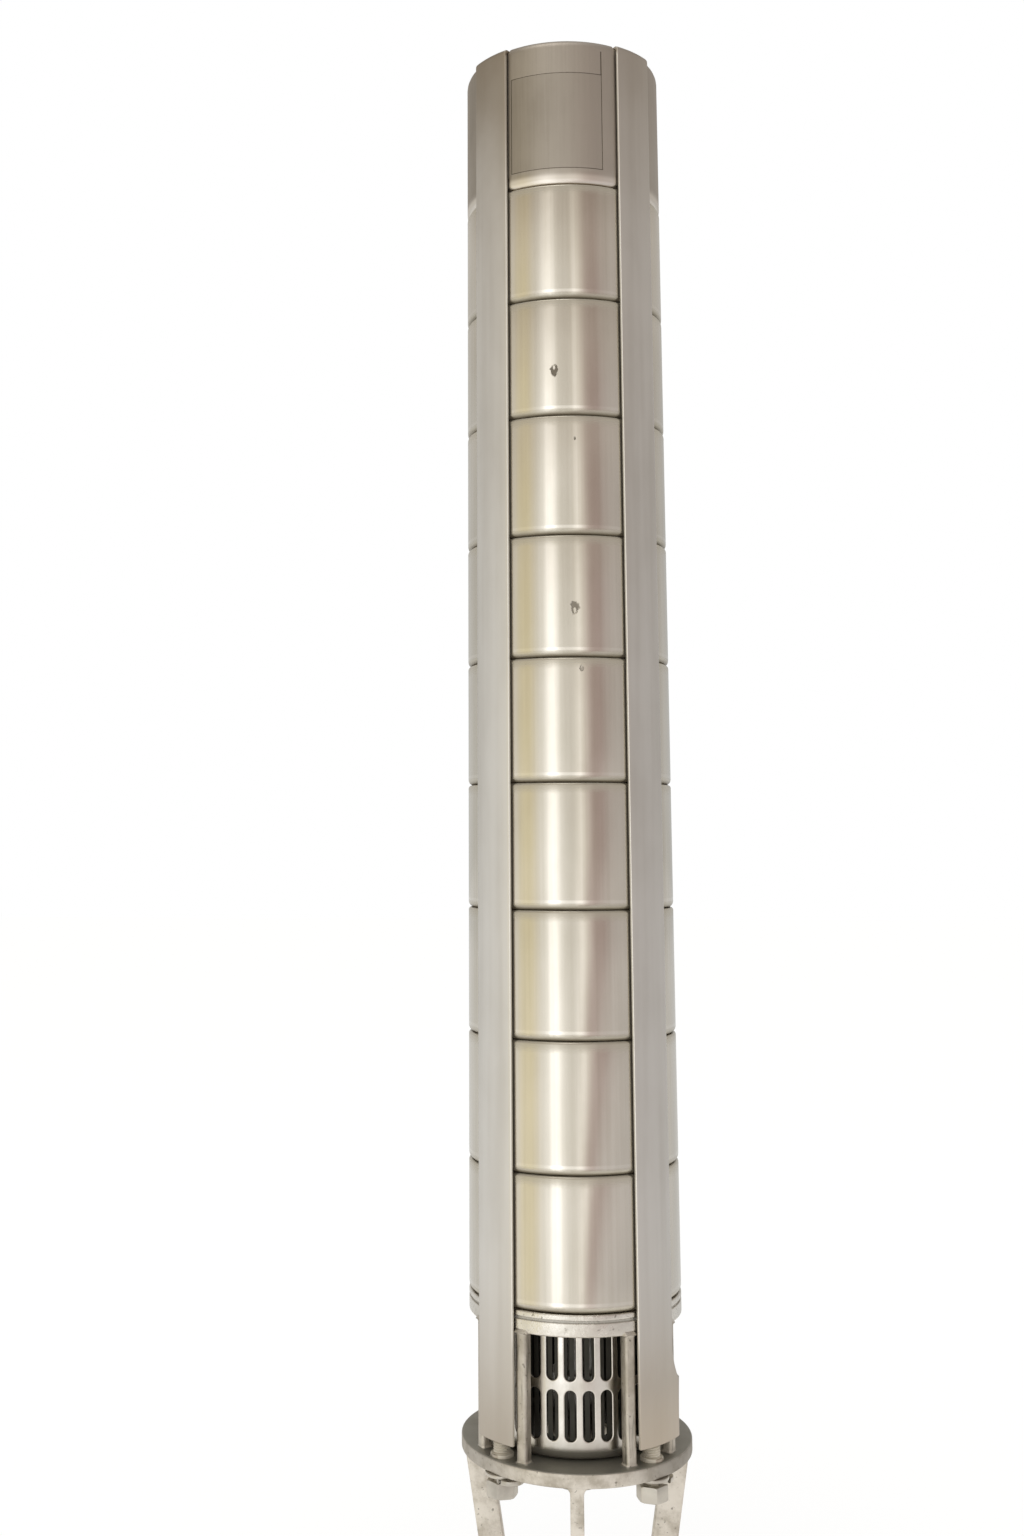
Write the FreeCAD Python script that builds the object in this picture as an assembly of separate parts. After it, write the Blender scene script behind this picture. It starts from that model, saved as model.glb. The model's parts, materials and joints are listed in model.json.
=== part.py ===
import FreeCAD, Part
import math
import os

# Multistage borehole pump end, standing on the flange that bolts to its motor.
# Millimetres. Z is the shaft's axis and z = 0 the lower face of the motor flange.
# The front window faces -Y.

# Clearances
slip_gap = 0.1          # parts that slide together on assembly
seat_gap = 0.05         # rings, sleeves and screws in their seats
running_gap = 0.25      # impeller skirt in its neck ring
overlap = 0.5           # how far cast or welded sections run into each other

# Stack of stages
stage_count = 9
stage_pitch = 103.0
chamber_r = 87.5
chamber_wall = 2.5
chamber_floor = 3.0
bottom_corner_r = 5.0
top_corner_r = 2.5
rim_width = 8.5         # inward roll of a chamber's top edge
spigot_depth = 3.0      # locating lip under a floor
spigot_wall = 3.0

# Motor flange and lantern
motor_flange_r = 72.0
motor_flange_t = 15.0
pilot_r = 38.1
motor_bolt_circle_r = 55.5625
motor_bolt_r = 6.75
motor_bolt_count = 4
lantern_h = 125.0
leg_count = 4
leg_inset = 2.5         # legs' tops inside the middle flange's edge
leg_depth = 21.0
leg_w = 11.0
leg_flare_r = 6.0

# Middle flange, columns and suction ring
flange_lip = 6.5        # beyond the chambers
flange_t = 11.0
flange_edge_r = 1.5
flange_bore_gap = 6.0   # around the coupling
window_h = 96.0
column_count = 8
column_w = 9.0
column_depth = 10.0
column_proud = 0.7      # beyond the chambers
column_corner_r = 1.8
column_offset_deg = 15.7    # from the middle of the nearest strap
column_head = 3.0           # how far a column runs up past the ring's lower face
ring_h = 17.0
ring_rim_h = 4.5
ring_groove_h = 2.0
ring_groove_depth = 1.5
ring_shelf = 13.0       # between the chamber's seat and the ring's bore
strainer_seat_h = 6.0

# Inlet strainer
strainer_lap = 3.5      # over the ring's bore
strainer_wall = 2.0
strainer_corner_r = 7.0
slot_count = 30
slot_w = 9.2
slot_h = 37.5
slot_phase_deg = -3.7
lower_slot_z = 14.3         # lower row's foot above the middle flange
slot_row_gap = 7.0
screen_t = 0.9              # slit screen that lines the strainer
screen_slit_w = 2.0
screen_slit_count = 72
screen_band_h = 4.0         # left uncut at the screen's foot and top

# Straps, each with a welded stud
strap_count = 4
strap_first_deg = 45.0
strap_gap = 1.2             # between chambers and straps
strap_t = 3.0
strap_w = 39.5
strap_foot_gap = 12.0       # between a strap's foot and the middle flange
hook_drop = 3.0             # from the casing's top face down to the hook's top
hook_reach = 16.0
hook_bend_r = 1.5
hook_side_gap = 0.6
flare_w = 9.0               # extra width at the feet of the two straps on the +X side
flare_full_h = 44.0
flare_run_h = 23.0
flare_lead = 4.0
stud_r = 7.0
stud_weld_depth = 1.0
stud_weld_h = 60.0
stud_hole_r = 7.75
washer_r = 13.5
washer_t = 2.5
lock_washer_w = 4.2
lock_washer_t = 3.6
lock_washer_split = 2.0
nut_flats = 22.0
nut_h = 12.0
nut_chamfer = 1.2

# Shaft and coupling
shaft_r = 15.0
shaft_end_below_rim = 2.0
shaft_chamfer = 1.5
coupling_wall = 6.0
coupling_h = 88.0
coupling_hang = 28.0        # below the middle flange's lower face
coupling_web = 3.0
drive_bore_r = 12.7
drive_bore_h = 44.0
grub_r = 4.0
grub_sink = 0.8
grub_below_top = 18.0
grub_count = 3

# Impellers
impeller_gap = 17.5         # between a wheel's rim and the chamber's outside
eye_r = 41.5
skirt_wall = 2.5
skirt_foot = 1.0            # above the stage's floor level
skirt_top = 9.5
outlet_low = 27.0
outlet_w = 13.0
shroud_t = 2.4
plate_t = 2.5
hub_wall = 3.9
hub_foot = 8.0
hub_top = 44.0
hub_line_foot = 17.0        # where the back plate leaves the hub
blade_count = 6
blade_gap = 6.0             # between the hub and the vanes' leading edges
blade_sweep_deg = 95.0
blade_width_deg = 4.5
neck_ring_lip = 3.0
neck_ring_t = 1.75
neck_ring_h = 5.0

# Split cones and their nuts
cone_top_wall = 4.0
cone_foot_wall = 2.2
cone_foot_gap = 2.0
cone_slit = 1.5
cone_nut_h = 8.0
cone_nut_wall = 2.95

# Guide vanes and stage bearings
guide_plate_z = 54.0
guide_plate_t = 2.0
guide_gap = 15.5            # between the plate's rim and the chamber's outside
guide_hub_wall = 5.0
guide_top_gap = 1.0
guide_skirt_drop = 8.0
guide_count = 8
guide_inlet_gap = 6.0       # between the hub and the vanes' inner ends
guide_sweep_deg = 70.0
guide_width_deg = 3.2
bearing_wall = 7.0
bearing_lip = 2.0
bearing_inset = 3.0
stop_ring_t = 1.5
stop_ring_w = 9.0

# Discharge casing with its pipe thread and check valve
casing_h = 135.0
casing_corner_r = 9.0
casing_foot_r = 5.0
thread_wall = 19.76         # around the crests of an internal 5-inch pipe thread
thread_mouth_chamfer = 2.0
seat_pocket_wall = 8.9
seat_pocket_top = 14.0
seat_ledge_w = 4.0
seat_ledge_h = 4.0
belly_wall = 8.5
belly_top = 78.0
guide_ledge_w = 3.74
guide_ledge_top = 84.0
clip_groove_depth = 1.5
clip_h = 2.0
seat_w = 14.0
valve_rim_h = 6.0
seal_in = 3.5
seal_w = 4.0
seal_depth = 2.5
seal_proud = 0.2
cup_gap = 6.0               # between the cup's rim and the ledge
cup_edge_h = 3.0
cup_rise = 10.5
cup_plate_t = 3.5
cup_lift_gap = 0.3
stem_r = 8.0
stem_h = 44.0
guide_bush_wall = 5.5
guide_bush_h = 28.0
guide_ring_h = 6.0
guide_ring_w = 7.5
guide_rib_w = 6.0
guide_rib_count = 3
clip_w = 4.6
clip_gap_deg = 14.0

# Levels and radii that follow from the sizes above
z_flange = motor_flange_t + lantern_h
z_window = z_flange + flange_t
z_ring = z_window + window_h
z_stack = z_ring + ring_h
z_discharge = z_stack + stage_count * stage_pitch
z_top = z_discharge + casing_h
rim_r = chamber_r - rim_width
spigot_r = rim_r - slip_gap
flange_r = chamber_r + flange_lip
leg_top_r = flange_r - leg_inset
column_outer_r = chamber_r + column_proud
ring_bore_r = rim_r - ring_shelf
strainer_r = ring_bore_r + strainer_lap
strap_inner_r = chamber_r + strap_gap
strap_outer_r = strap_inner_r + strap_t
strap_half_deg = math.degrees(strap_w / 2 / strap_outer_r)
strap_foot_z = z_window + strap_foot_gap
stud_circle_r = strap_inner_r - stud_r + stud_weld_depth
stud_foot_z = z_flange - washer_t - lock_washer_t - nut_h
hook_top_z = z_top - hook_drop
hook_tip_r = strap_outer_r - hook_reach
skirt_r = eye_r + skirt_wall
neck_bore_r = skirt_r + running_gap
neck_seat_r = neck_bore_r + neck_ring_t
coupling_r = shaft_r + coupling_wall
flange_bore_r = coupling_r + flange_bore_gap
cone_r = shaft_r + seat_gap
cone_top_r = cone_r + cone_top_wall
cone_foot_r = cone_r + cone_foot_wall
hub_r = cone_top_r + seat_gap + hub_wall
impeller_r = chamber_r - impeller_gap
blade_inner_r = hub_r + blade_gap
bearing_r = shaft_r + bearing_wall
guide_hub_r = bearing_r + guide_hub_wall
guide_inner_r = guide_hub_r + guide_inlet_gap
guide_plate_r = chamber_r - guide_gap
guide_top = stage_pitch - spigot_depth - guide_top_gap
thread_r = chamber_r - thread_wall
seat_pocket_r = spigot_r - seat_pocket_wall
seat_ledge_r = seat_pocket_r - seat_ledge_w
valve_bore_r = seat_ledge_r - seat_w
cup_r = seat_ledge_r - cup_gap

UP = FreeCAD.Vector(0, 0, 1)
ORIGIN = FreeCAD.Vector(0, 0, 0)


def at(point):
    return FreeCAD.Vector(point[0], 0, point[1])


def polar(radius, degrees, z=0.0):
    a = math.radians(degrees)
    return FreeCAD.Vector(radius * math.cos(a), radius * math.sin(a), z)


def section(start, *steps):
    # A closed face in the XZ plane. A step is a point, or an arc or curve made by bend, curve or dome.
    edges = []
    here = start
    for step in steps:
        there = step[-1] if isinstance(step[0], str) else step
        if step[0] == "arc":
            edges.append(Part.Arc(at(here), at(step[1]), at(there)).toShape())
        elif step[0] == "curve":
            bezier = Part.BezierCurve()
            bezier.setPoles([at(here), at(step[1]), at(there)])
            edges.append(bezier.toShape())
        else:
            edges.append(Part.LineSegment(at(here), at(there)).toShape())
        here = there
    if here != start:
        edges.append(Part.LineSegment(at(here), at(start)).toShape())
    return Part.Face(Part.Wire(edges))


def bend(centre_r, centre_z, radius, from_deg, to_deg):
    # An arc step, turning about a centre in the XZ plane.
    def spot(degrees):
        a = math.radians(degrees)
        return (centre_r + radius * math.cos(a), centre_z + radius * math.sin(a))

    return ("arc", spot((from_deg + to_deg) / 2), spot(to_deg))


def curve(pole, end):
    # A gently curved step that leaves towards its pole and arrives from it.
    return ("curve", pole, end)


def dome(edge_r, edge_z, crown_z):
    # An arc step from a dome's edge up to its crown on the axis.
    rise = crown_z - edge_z
    radius = (edge_r ** 2 + rise ** 2) / (2 * rise)
    lean = 0.5 * math.asin(edge_r / radius)
    via = (radius * math.sin(lean), crown_z - radius * (1 - math.cos(lean)))
    return ("arc", via, (0, crown_z))


def turned(face, degrees=360.0):
    return face.revolve(ORIGIN, UP, degrees)


def tube(inner, outer, low, high):
    return turned(section((inner, low), (outer, low), (outer, high), (inner, high)))


def rotated(shape, degrees):
    copy = shape.copy()
    copy.rotate(ORIGIN, UP, degrees)
    return copy


def raised(shape, z):
    copy = shape.copy()
    copy.translate(FreeCAD.Vector(0, 0, z))
    return copy


def around(shape, count, first_deg=0.0):
    return [rotated(shape, first_deg + i * 360.0 / count) for i in range(count)]


def fused(shapes):
    return shapes[0].multiFuse(shapes[1:]).removeSplitter()


def cut_all(shape, tools):
    return shape.cut(Part.makeCompound(tools))


def hex_prism(flats, height, z):
    corners = [polar(flats / math.sqrt(3), 60 * i, z) for i in range(7)]
    return Part.Face(Part.makePolygon(corners)).extrude(UP * height)


def radial_slot(radius_from, radius_to, width, low, high):
    # A slot with round ends, cut through a wall along +X.
    half = width / 2
    x = radius_from
    a, b = FreeCAD.Vector(x, -half, low + half), FreeCAD.Vector(x, -half, high - half)
    c, d = FreeCAD.Vector(x, half, high - half), FreeCAD.Vector(x, half, low + half)
    wire = Part.Wire([
        Part.LineSegment(a, b).toShape(),
        Part.Arc(b, FreeCAD.Vector(x, 0, high), c).toShape(),
        Part.LineSegment(c, d).toShape(),
        Part.Arc(d, FreeCAD.Vector(x, 0, low), a).toShape(),
    ])
    return Part.Face(wire).extrude(FreeCAD.Vector(radius_to - radius_from, 0, 0))


def swept_blade(inner, outer, sweep_deg, width_deg, low, high):
    # A curved vane seen along the axis: two like arcs, one turned by the vane's width.
    def edge(turn):
        middle = 0.5 * (inner + outer)
        return Part.Arc(polar(inner, turn, low), polar(middle, turn + 0.38 * sweep_deg, low),
                        polar(outer, turn + sweep_deg, low)).toShape()

    first, second = edge(0.0), edge(width_deg)
    tips = [
        Part.LineSegment(polar(outer, sweep_deg, low), polar(outer, sweep_deg + width_deg, low)),
        Part.LineSegment(polar(inner, width_deg, low), polar(inner, 0.0, low)),
    ]
    wire = Part.Wire([first, tips[0].toShape(), second, tips[1].toShape()])
    return Part.Face(wire).extrude(UP * (high - low))


# Suction casing


def motor_flange():
    ring = tube(pilot_r, motor_flange_r, 0.0, motor_flange_t)
    hole = Part.makeCylinder(motor_bolt_r, motor_flange_t, polar(motor_bolt_circle_r, 0.0))
    return cut_all(ring, around(hole, motor_bolt_count, 180.0 / motor_bolt_count))


def lantern_leg():
    low, high = motor_flange_t - overlap, z_flange + overlap
    side = section((motor_flange_r, low), (leg_top_r, high), (leg_top_r - leg_depth, high),
                   (motor_flange_r - leg_depth, low))
    wide = leg_w + 2 * leg_flare_r
    side.translate(FreeCAD.Vector(0, -wide / 2, 0))
    slab = side.extrude(FreeCAD.Vector(0, wide, 0))
    half, flare = leg_w / 2, leg_flare_r
    front = section(
        (half + flare, low), (half + flare, motor_flange_t),
        bend(half + flare, motor_flange_t + flare, flare, 270, 180),
        (half, z_flange - flare),
        bend(half + flare, z_flange - flare, flare, 180, 90),
        (half + flare, high), (-half - flare, high), (-half - flare, z_flange),
        bend(-half - flare, z_flange - flare, flare, 90, 0),
        (-half, motor_flange_t + flare),
        bend(-half - flare, motor_flange_t + flare, flare, 0, -90),
        (-half - flare, low))
    front.rotate(ORIGIN, UP, 90)
    return slab.common(front.extrude(FreeCAD.Vector(leg_top_r, 0, 0)))


def middle_flange():
    edge = flange_edge_r
    disc = turned(section(
        (flange_bore_r, z_flange), (flange_r - edge, z_flange),
        bend(flange_r - edge, z_flange + edge, edge, 270, 360),
        (flange_r, z_window - edge),
        bend(flange_r - edge, z_window - edge, edge, 0, 90),
        (flange_bore_r, z_window)))
    hole = Part.makeCylinder(stud_hole_r, flange_t, polar(stud_circle_r, 0.0, z_flange))
    return cut_all(disc, around(hole, strap_count, strap_first_deg))


def column():
    low, high = z_window - overlap, z_ring + column_head
    bar = Part.makeBox(column_depth, column_w, high - low,
                       FreeCAD.Vector(column_outer_r - column_depth, -column_w / 2, low))
    upright = [e for e in bar.Edges if abs(e.tangentAt(e.FirstParameter).z) > 0.9]
    bar = bar.makeFillet(column_corner_r, upright)
    slope = section((column_outer_r, high - column_head), (column_outer_r + column_head, high - column_head),
                    (column_outer_r + column_head, high), (chamber_r - overlap, high))
    slope.translate(FreeCAD.Vector(0, -column_w / 2, 0))
    return bar.cut(slope.extrude(FreeCAD.Vector(0, column_w, 0)))


def suction_ring():
    groove_top = z_stack - ring_rim_h
    groove_low = groove_top - ring_groove_h
    groove_r = chamber_r - ring_groove_depth
    edge = flange_edge_r
    spigot_floor = z_stack - spigot_depth - slip_gap
    return turned(section(
        (strainer_r + slip_gap, z_ring), (chamber_r - edge, z_ring),
        bend(chamber_r - edge, z_ring + edge, edge, 270, 360),
        (chamber_r, groove_low), (groove_r, groove_low), (groove_r, groove_top),
        (chamber_r, groove_top), (chamber_r, z_stack - edge),
        bend(chamber_r - edge, z_stack - edge, edge, 0, 90),
        (rim_r, z_stack), (rim_r, spigot_floor), (ring_bore_r, spigot_floor),
        (ring_bore_r, z_ring + strainer_seat_h), (strainer_r + slip_gap, z_ring + strainer_seat_h)))


def suction_casing():
    pieces = [middle_flange(), motor_flange(), suction_ring()]
    pieces += around(lantern_leg(), leg_count)
    for side in (-column_offset_deg, column_offset_deg):
        pieces += around(column(), column_count // 2, strap_first_deg + side)
    return fused(pieces)


def inlet_strainer():
    inner, corner = strainer_r - strainer_wall, strainer_corner_r
    top = z_ring + strainer_seat_h
    cup = turned(section(
        (flange_bore_r, z_window), (strainer_r - corner, z_window),
        bend(strainer_r - corner, z_window + corner, corner, 270, 360),
        (strainer_r, top), (inner, top), (inner, z_window + corner),
        bend(strainer_r - corner, z_window + corner, corner - strainer_wall, 360, 270),
        (flange_bore_r, z_window + strainer_wall)))
    slots = []
    low = z_window + lower_slot_z
    for row in (low, low + slot_h + slot_row_gap):
        slot = radial_slot(inner - strainer_wall, strainer_r + strainer_wall, slot_w, row, row + slot_h)
        slots += around(slot, slot_count, slot_phase_deg - 90.0)
    return cut_all(cup, slots)


def inlet_screen():
    outer = strainer_r - strainer_wall - slip_gap
    low, high = z_window + strainer_corner_r, z_ring + strainer_seat_h
    slit = Part.makeBox(4 * screen_t, screen_slit_w, high - low - 2 * screen_band_h,
                        FreeCAD.Vector(outer - 2 * screen_t, -screen_slit_w / 2, low + screen_band_h))
    return cut_all(tube(outer - screen_t, outer, low, high), around(slit, screen_slit_count))


# Straps and their fasteners


def strap_sheet():
    outer_bend = hook_bend_r + strap_t
    centre_r, centre_z = strap_outer_r - outer_bend, hook_top_z - outer_bend
    face = section(
        (strap_inner_r, strap_foot_z), (strap_outer_r, strap_foot_z), (strap_outer_r, centre_z),
        bend(centre_r, centre_z, outer_bend, 0, 90),
        (hook_tip_r, hook_top_z), (hook_tip_r, hook_top_z - strap_t), (centre_r, hook_top_z - strap_t),
        bend(centre_r, centre_z, hook_bend_r, 90, 0))
    return rotated(turned(face, 2 * strap_half_deg), -strap_half_deg)


def strap_flare():
    # The widened foot beside the +X window, on the strap's edge at the lower angle.
    extra_deg = math.degrees(flare_w / strap_outer_r)
    full_z = strap_foot_z + flare_full_h
    top_z = full_z + flare_run_h
    face = section((strap_inner_r, strap_foot_z), (strap_outer_r, strap_foot_z),
                   (strap_outer_r, top_z), (strap_inner_r, top_z))
    foot = rotated(turned(face, extra_deg + strap_half_deg), -strap_half_deg - extra_deg)
    # The scoop's centre is level with a point flare_lead above the flare and as far from both its ends.
    reach = (flare_w ** 2 + flare_run_h ** 2 + 2 * flare_lead * flare_run_h) / (2 * flare_w)
    edge_y = -strap_inner_r * math.sin(math.radians(strap_half_deg))
    centre = FreeCAD.Vector(0, edge_y - reach, top_z + flare_lead)
    scoop = Part.makeCylinder(math.hypot(reach, flare_lead), strap_outer_r, centre, FreeCAD.Vector(1, 0, 0))
    return foot.cut(scoop)


def strap_stud():
    high = strap_foot_z + stud_weld_h
    stud = Part.makeCylinder(stud_r, high - stud_foot_z, polar(stud_circle_r, 0.0, stud_foot_z))
    rims = [e for e in stud.Edges if e.Closed]
    return stud.makeChamfer(nut_chamfer, rims)


def strap(flared, mirrored):
    pieces = [strap_sheet(), strap_stud()]
    if flared:
        flare = strap_flare()
        pieces.append(flare.mirror(ORIGIN, FreeCAD.Vector(0, 1, 0)) if mirrored else flare)
    return fused(pieces)


def strap_nut():
    low = stud_foot_z
    nut = hex_prism(nut_flats, nut_h, low)
    corner_r = nut_flats / math.sqrt(3)
    cone = turned(section((0, low), (corner_r - nut_chamfer, low), (corner_r, low + nut_chamfer),
                          (corner_r, low + nut_h - nut_chamfer), (corner_r - nut_chamfer, low + nut_h),
                          (0, low + nut_h)))
    return nut.common(cone).cut(Part.makeCylinder(stud_r + seat_gap, nut_h, FreeCAD.Vector(0, 0, low)))


def at_studs(shape):
    placed = shape.copy()
    placed.translate(polar(stud_circle_r, 0.0))
    return Part.makeCompound(around(placed, strap_count, strap_first_deg))


def strap_washer():
    return tube(stud_r + seat_gap, washer_r, z_flange - washer_t, z_flange)


def strap_lock_washer():
    low = z_flange - washer_t - lock_washer_t
    inner = stud_r + seat_gap
    ring = tube(inner, inner + lock_washer_w, low, low + lock_washer_t)
    split = Part.makeBox(lock_washer_w + stud_r, lock_washer_split, lock_washer_t,
                         FreeCAD.Vector(0, -lock_washer_split / 2, low))
    split.rotate(FreeCAD.Vector(0, 0, low + lock_washer_t / 2), FreeCAD.Vector(1, 0, 0), 25)
    return ring.cut(split)


# Stages, each drawn with its floor at z = 0


def stage_chamber():
    wall_r = chamber_r - chamber_wall
    corner, inner_corner = bottom_corner_r, bottom_corner_r - chamber_wall
    rim_low = stage_pitch - chamber_floor
    return turned(section(
        (neck_seat_r, 0), (spigot_r - spigot_wall, 0), (spigot_r - spigot_wall, -spigot_depth),
        (spigot_r, -spigot_depth), (spigot_r, 0), (chamber_r - corner, 0),
        bend(chamber_r - corner, corner, corner, 270, 360),
        (chamber_r, stage_pitch - top_corner_r),
        bend(chamber_r - top_corner_r, stage_pitch - top_corner_r, top_corner_r, 0, 90),
        (rim_r, stage_pitch), (rim_r, rim_low), (wall_r, rim_low),
        (wall_r, chamber_floor + inner_corner),
        bend(wall_r - inner_corner, chamber_floor + inner_corner, inner_corner, 360, 270),
        (neck_seat_r, chamber_floor)))


def neck_ring():
    lip_r = neck_seat_r + neck_ring_lip
    outer = neck_seat_r - seat_gap
    return turned(section((neck_bore_r, 0), (outer, 0), (outer, chamber_floor), (lip_r, chamber_floor),
                          (lip_r, neck_ring_h), (neck_bore_r, neck_ring_h)))


def hub_line(z_shift):
    # Start, pole and end of the back plate's face towards the passage.
    outlet_top = outlet_low + outlet_w
    return ((hub_r, hub_line_foot + z_shift), (0.62 * hub_r + 0.38 * impeller_r, outlet_top - 1.0 + z_shift),
            (impeller_r, outlet_top + z_shift))


def shroud_line(inset, drop):
    # Start, pole and end along the front shroud, from the eye to the outlet.
    start = (eye_r + inset, skirt_top)
    end = (impeller_r, outlet_low - drop)
    return start, (start[0] + 2.0, end[1] - 1.5), end


def impeller():
    low, high = hub_line(0.0), hub_line(plate_t)
    hub = turned(section(
        (cone_foot_r + seat_gap, hub_foot), (hub_r, hub_foot), low[0], curve(low[1], low[2]),
        high[2], curve(high[1], high[0]), (hub_r, hub_top), (cone_top_r + seat_gap, hub_top)))
    inside, outside = shroud_line(0.0, 0.0), shroud_line(skirt_wall, shroud_t)
    shroud = turned(section(
        (eye_r, skirt_foot), (skirt_r, skirt_foot), outside[0], curve(outside[1], outside[2]),
        inside[2], curve(inside[1], inside[0])))
    # Vanes fill the passage from a sloping leading edge and run into both plates.
    deep, wide = hub_line(plate_t / 2), shroud_line(skirt_wall / 2, shroud_t / 2)
    lead = (blade_inner_r, skirt_top + 0.6 * (hub_line_foot - skirt_top))
    passage = turned(section(lead, wide[0], curve(wide[1], wide[2]), deep[2], curve(deep[1], deep[0])))
    blade = swept_blade(blade_inner_r, impeller_r + overlap, blade_sweep_deg, blade_width_deg,
                        skirt_foot, hub_top)
    blade = blade.common(passage)
    return fused([hub, shroud] + around(blade, blade_count))


def split_cone():
    foot = hub_foot + cone_foot_gap
    top = hub_top + cone_nut_h
    lean = (cone_top_r - cone_foot_r) / (hub_top - hub_foot)
    sleeve = turned(section((cone_r, foot), (cone_foot_r + lean * cone_foot_gap, foot), (cone_top_r, hub_top),
                            (cone_top_r, top), (cone_r, top)))
    slit = Part.makeBox(cone_top_r, cone_slit, top - foot, FreeCAD.Vector(0, -cone_slit / 2, foot))
    return sleeve.cut(slit)


def cone_nut():
    bore = Part.makeCylinder(cone_top_r + seat_gap, cone_nut_h, FreeCAD.Vector(0, 0, hub_top))
    return hex_prism(2 * (cone_top_r + cone_nut_wall), cone_nut_h, hub_top).cut(bore)


def guide_vanes():
    plate_top = guide_plate_z + guide_plate_t
    outer_r = chamber_r - chamber_wall - slip_gap
    body = turned(section(
        (bearing_r - bearing_lip, guide_plate_z), (guide_plate_r, guide_plate_z), (guide_plate_r, plate_top),
        (guide_hub_r, plate_top), (guide_hub_r, guide_top), (bearing_r, guide_top),
        (bearing_r, guide_plate_z + bearing_inset), (bearing_r - bearing_lip, guide_plate_z + bearing_inset)))
    skirt = guide_plate_z - guide_skirt_drop
    channel = turned(section(
        (guide_plate_r - overlap, skirt), (outer_r, skirt), (outer_r, guide_top), (guide_inner_r, guide_top),
        (guide_inner_r, plate_top - overlap), (guide_plate_r - overlap, plate_top - overlap)))
    vane = swept_blade(guide_inner_r - overlap, chamber_r, -guide_sweep_deg, -guide_width_deg,
                       skirt, guide_top)
    return fused([body] + around(vane.common(channel), guide_count))


def stage_bearing():
    low = guide_plate_z + bearing_inset
    return tube(shaft_r + slip_gap, bearing_r - seat_gap, low, guide_top - bearing_inset)


def stop_ring():
    inner = shaft_r + bearing_lip
    return tube(inner, inner + stop_ring_w, guide_plate_z - stop_ring_t, guide_plate_z)


def stage_z(index):
    return z_stack + index * stage_pitch


def one_per_stage(shape):
    return Part.makeCompound([raised(shape, stage_z(i)) for i in range(stage_count)])


# Shaft and coupling


def coupling_levels():
    foot = z_flange - coupling_hang
    return foot, foot + drive_bore_h + coupling_web, foot + coupling_h


def grub_holes(radius, inner, outer):
    level = coupling_levels()[2] - grub_below_top
    hole = Part.makeCylinder(radius, outer - inner, FreeCAD.Vector(inner, 0, level), FreeCAD.Vector(1, 0, 0))
    return around(hole, grub_count, 90.0)


def pump_shaft():
    low = coupling_levels()[1]
    high = z_discharge - spigot_depth - shaft_end_below_rim
    tip = shaft_r - shaft_chamfer
    return turned(section((0, low), (tip, low), (shaft_r, low + shaft_chamfer),
                          (shaft_r, high - shaft_chamfer), (tip, high), (0, high)))


def shaft_coupling():
    foot, shoulder, top = coupling_levels()
    edge = shaft_chamfer
    bore_r = shaft_r + seat_gap
    body = turned(section(
        (drive_bore_r, foot), (coupling_r - edge, foot), (coupling_r, foot + edge),
        (coupling_r, top - edge), (coupling_r - edge, top), (bore_r, top), (bore_r, shoulder),
        (0, shoulder), (0, foot + drive_bore_h), (drive_bore_r, foot + drive_bore_h)))
    return cut_all(body, grub_holes(grub_r + seat_gap, shaft_r, coupling_r + overlap))


def grub_screws():
    return Part.makeCompound(grub_holes(grub_r, shaft_r + seat_gap, coupling_r - grub_sink))


# Discharge casing and check valve, drawn with the casing's foot at z = 0


def discharge_casing():
    corner, foot = casing_corner_r, casing_foot_r
    groove_top = guide_ledge_top + guide_ring_h + clip_h
    groove_r = thread_r + clip_groove_depth
    belly_low = seat_pocket_top + seat_ledge_h
    belly_mouth_r = thread_r - guide_ledge_w
    belly_pole_r = 2 * (chamber_r - belly_wall) - 0.5 * (belly_mouth_r + seat_ledge_r)
    body = turned(section(
        (seat_pocket_r, -spigot_depth), (spigot_r, -spigot_depth), (spigot_r, 0), (chamber_r - foot, 0),
        bend(chamber_r - foot, foot, foot, 270, 360),
        (chamber_r, casing_h - corner),
        bend(chamber_r - corner, casing_h - corner, corner, 0, 90),
        (thread_r + thread_mouth_chamfer, casing_h), (thread_r, casing_h - thread_mouth_chamfer),
        (thread_r, groove_top), (groove_r, groove_top), (groove_r, groove_top - clip_h),
        (thread_r, groove_top - clip_h), (thread_r, guide_ledge_top), (belly_mouth_r, guide_ledge_top),
        (belly_mouth_r, belly_top),
        curve((belly_pole_r, 0.5 * (belly_low + belly_top)), (seat_ledge_r, belly_low)),
        (seat_ledge_r, seat_pocket_top), (seat_pocket_r, seat_pocket_top)))
    pocket_floor = casing_h - hook_drop - strap_t
    pocket_r = hook_tip_r - hook_side_gap
    side_deg = strap_half_deg + math.degrees(hook_side_gap / strap_outer_r)
    pocket = turned(section((pocket_r, pocket_floor), (chamber_r + overlap, pocket_floor),
                            (chamber_r + overlap, casing_h + overlap), (pocket_r, casing_h + overlap)),
                    2 * side_deg)
    return cut_all(body, around(rotated(pocket, -side_deg), strap_count, strap_first_deg))


def valve_seat():
    top = seat_pocket_top + valve_rim_h
    seal_r = valve_bore_r + seal_in
    return turned(section(
        (valve_bore_r, -spigot_depth), (seat_pocket_r - seat_gap, -spigot_depth),
        (seat_pocket_r - seat_gap, seat_pocket_top), (seat_ledge_r - slip_gap, seat_pocket_top),
        (seat_ledge_r - slip_gap, top), (seal_r + seal_w, top), (seal_r + seal_w, top - seal_depth),
        (seal_r, top - seal_depth), (seal_r, top), (valve_bore_r, top)))


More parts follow.
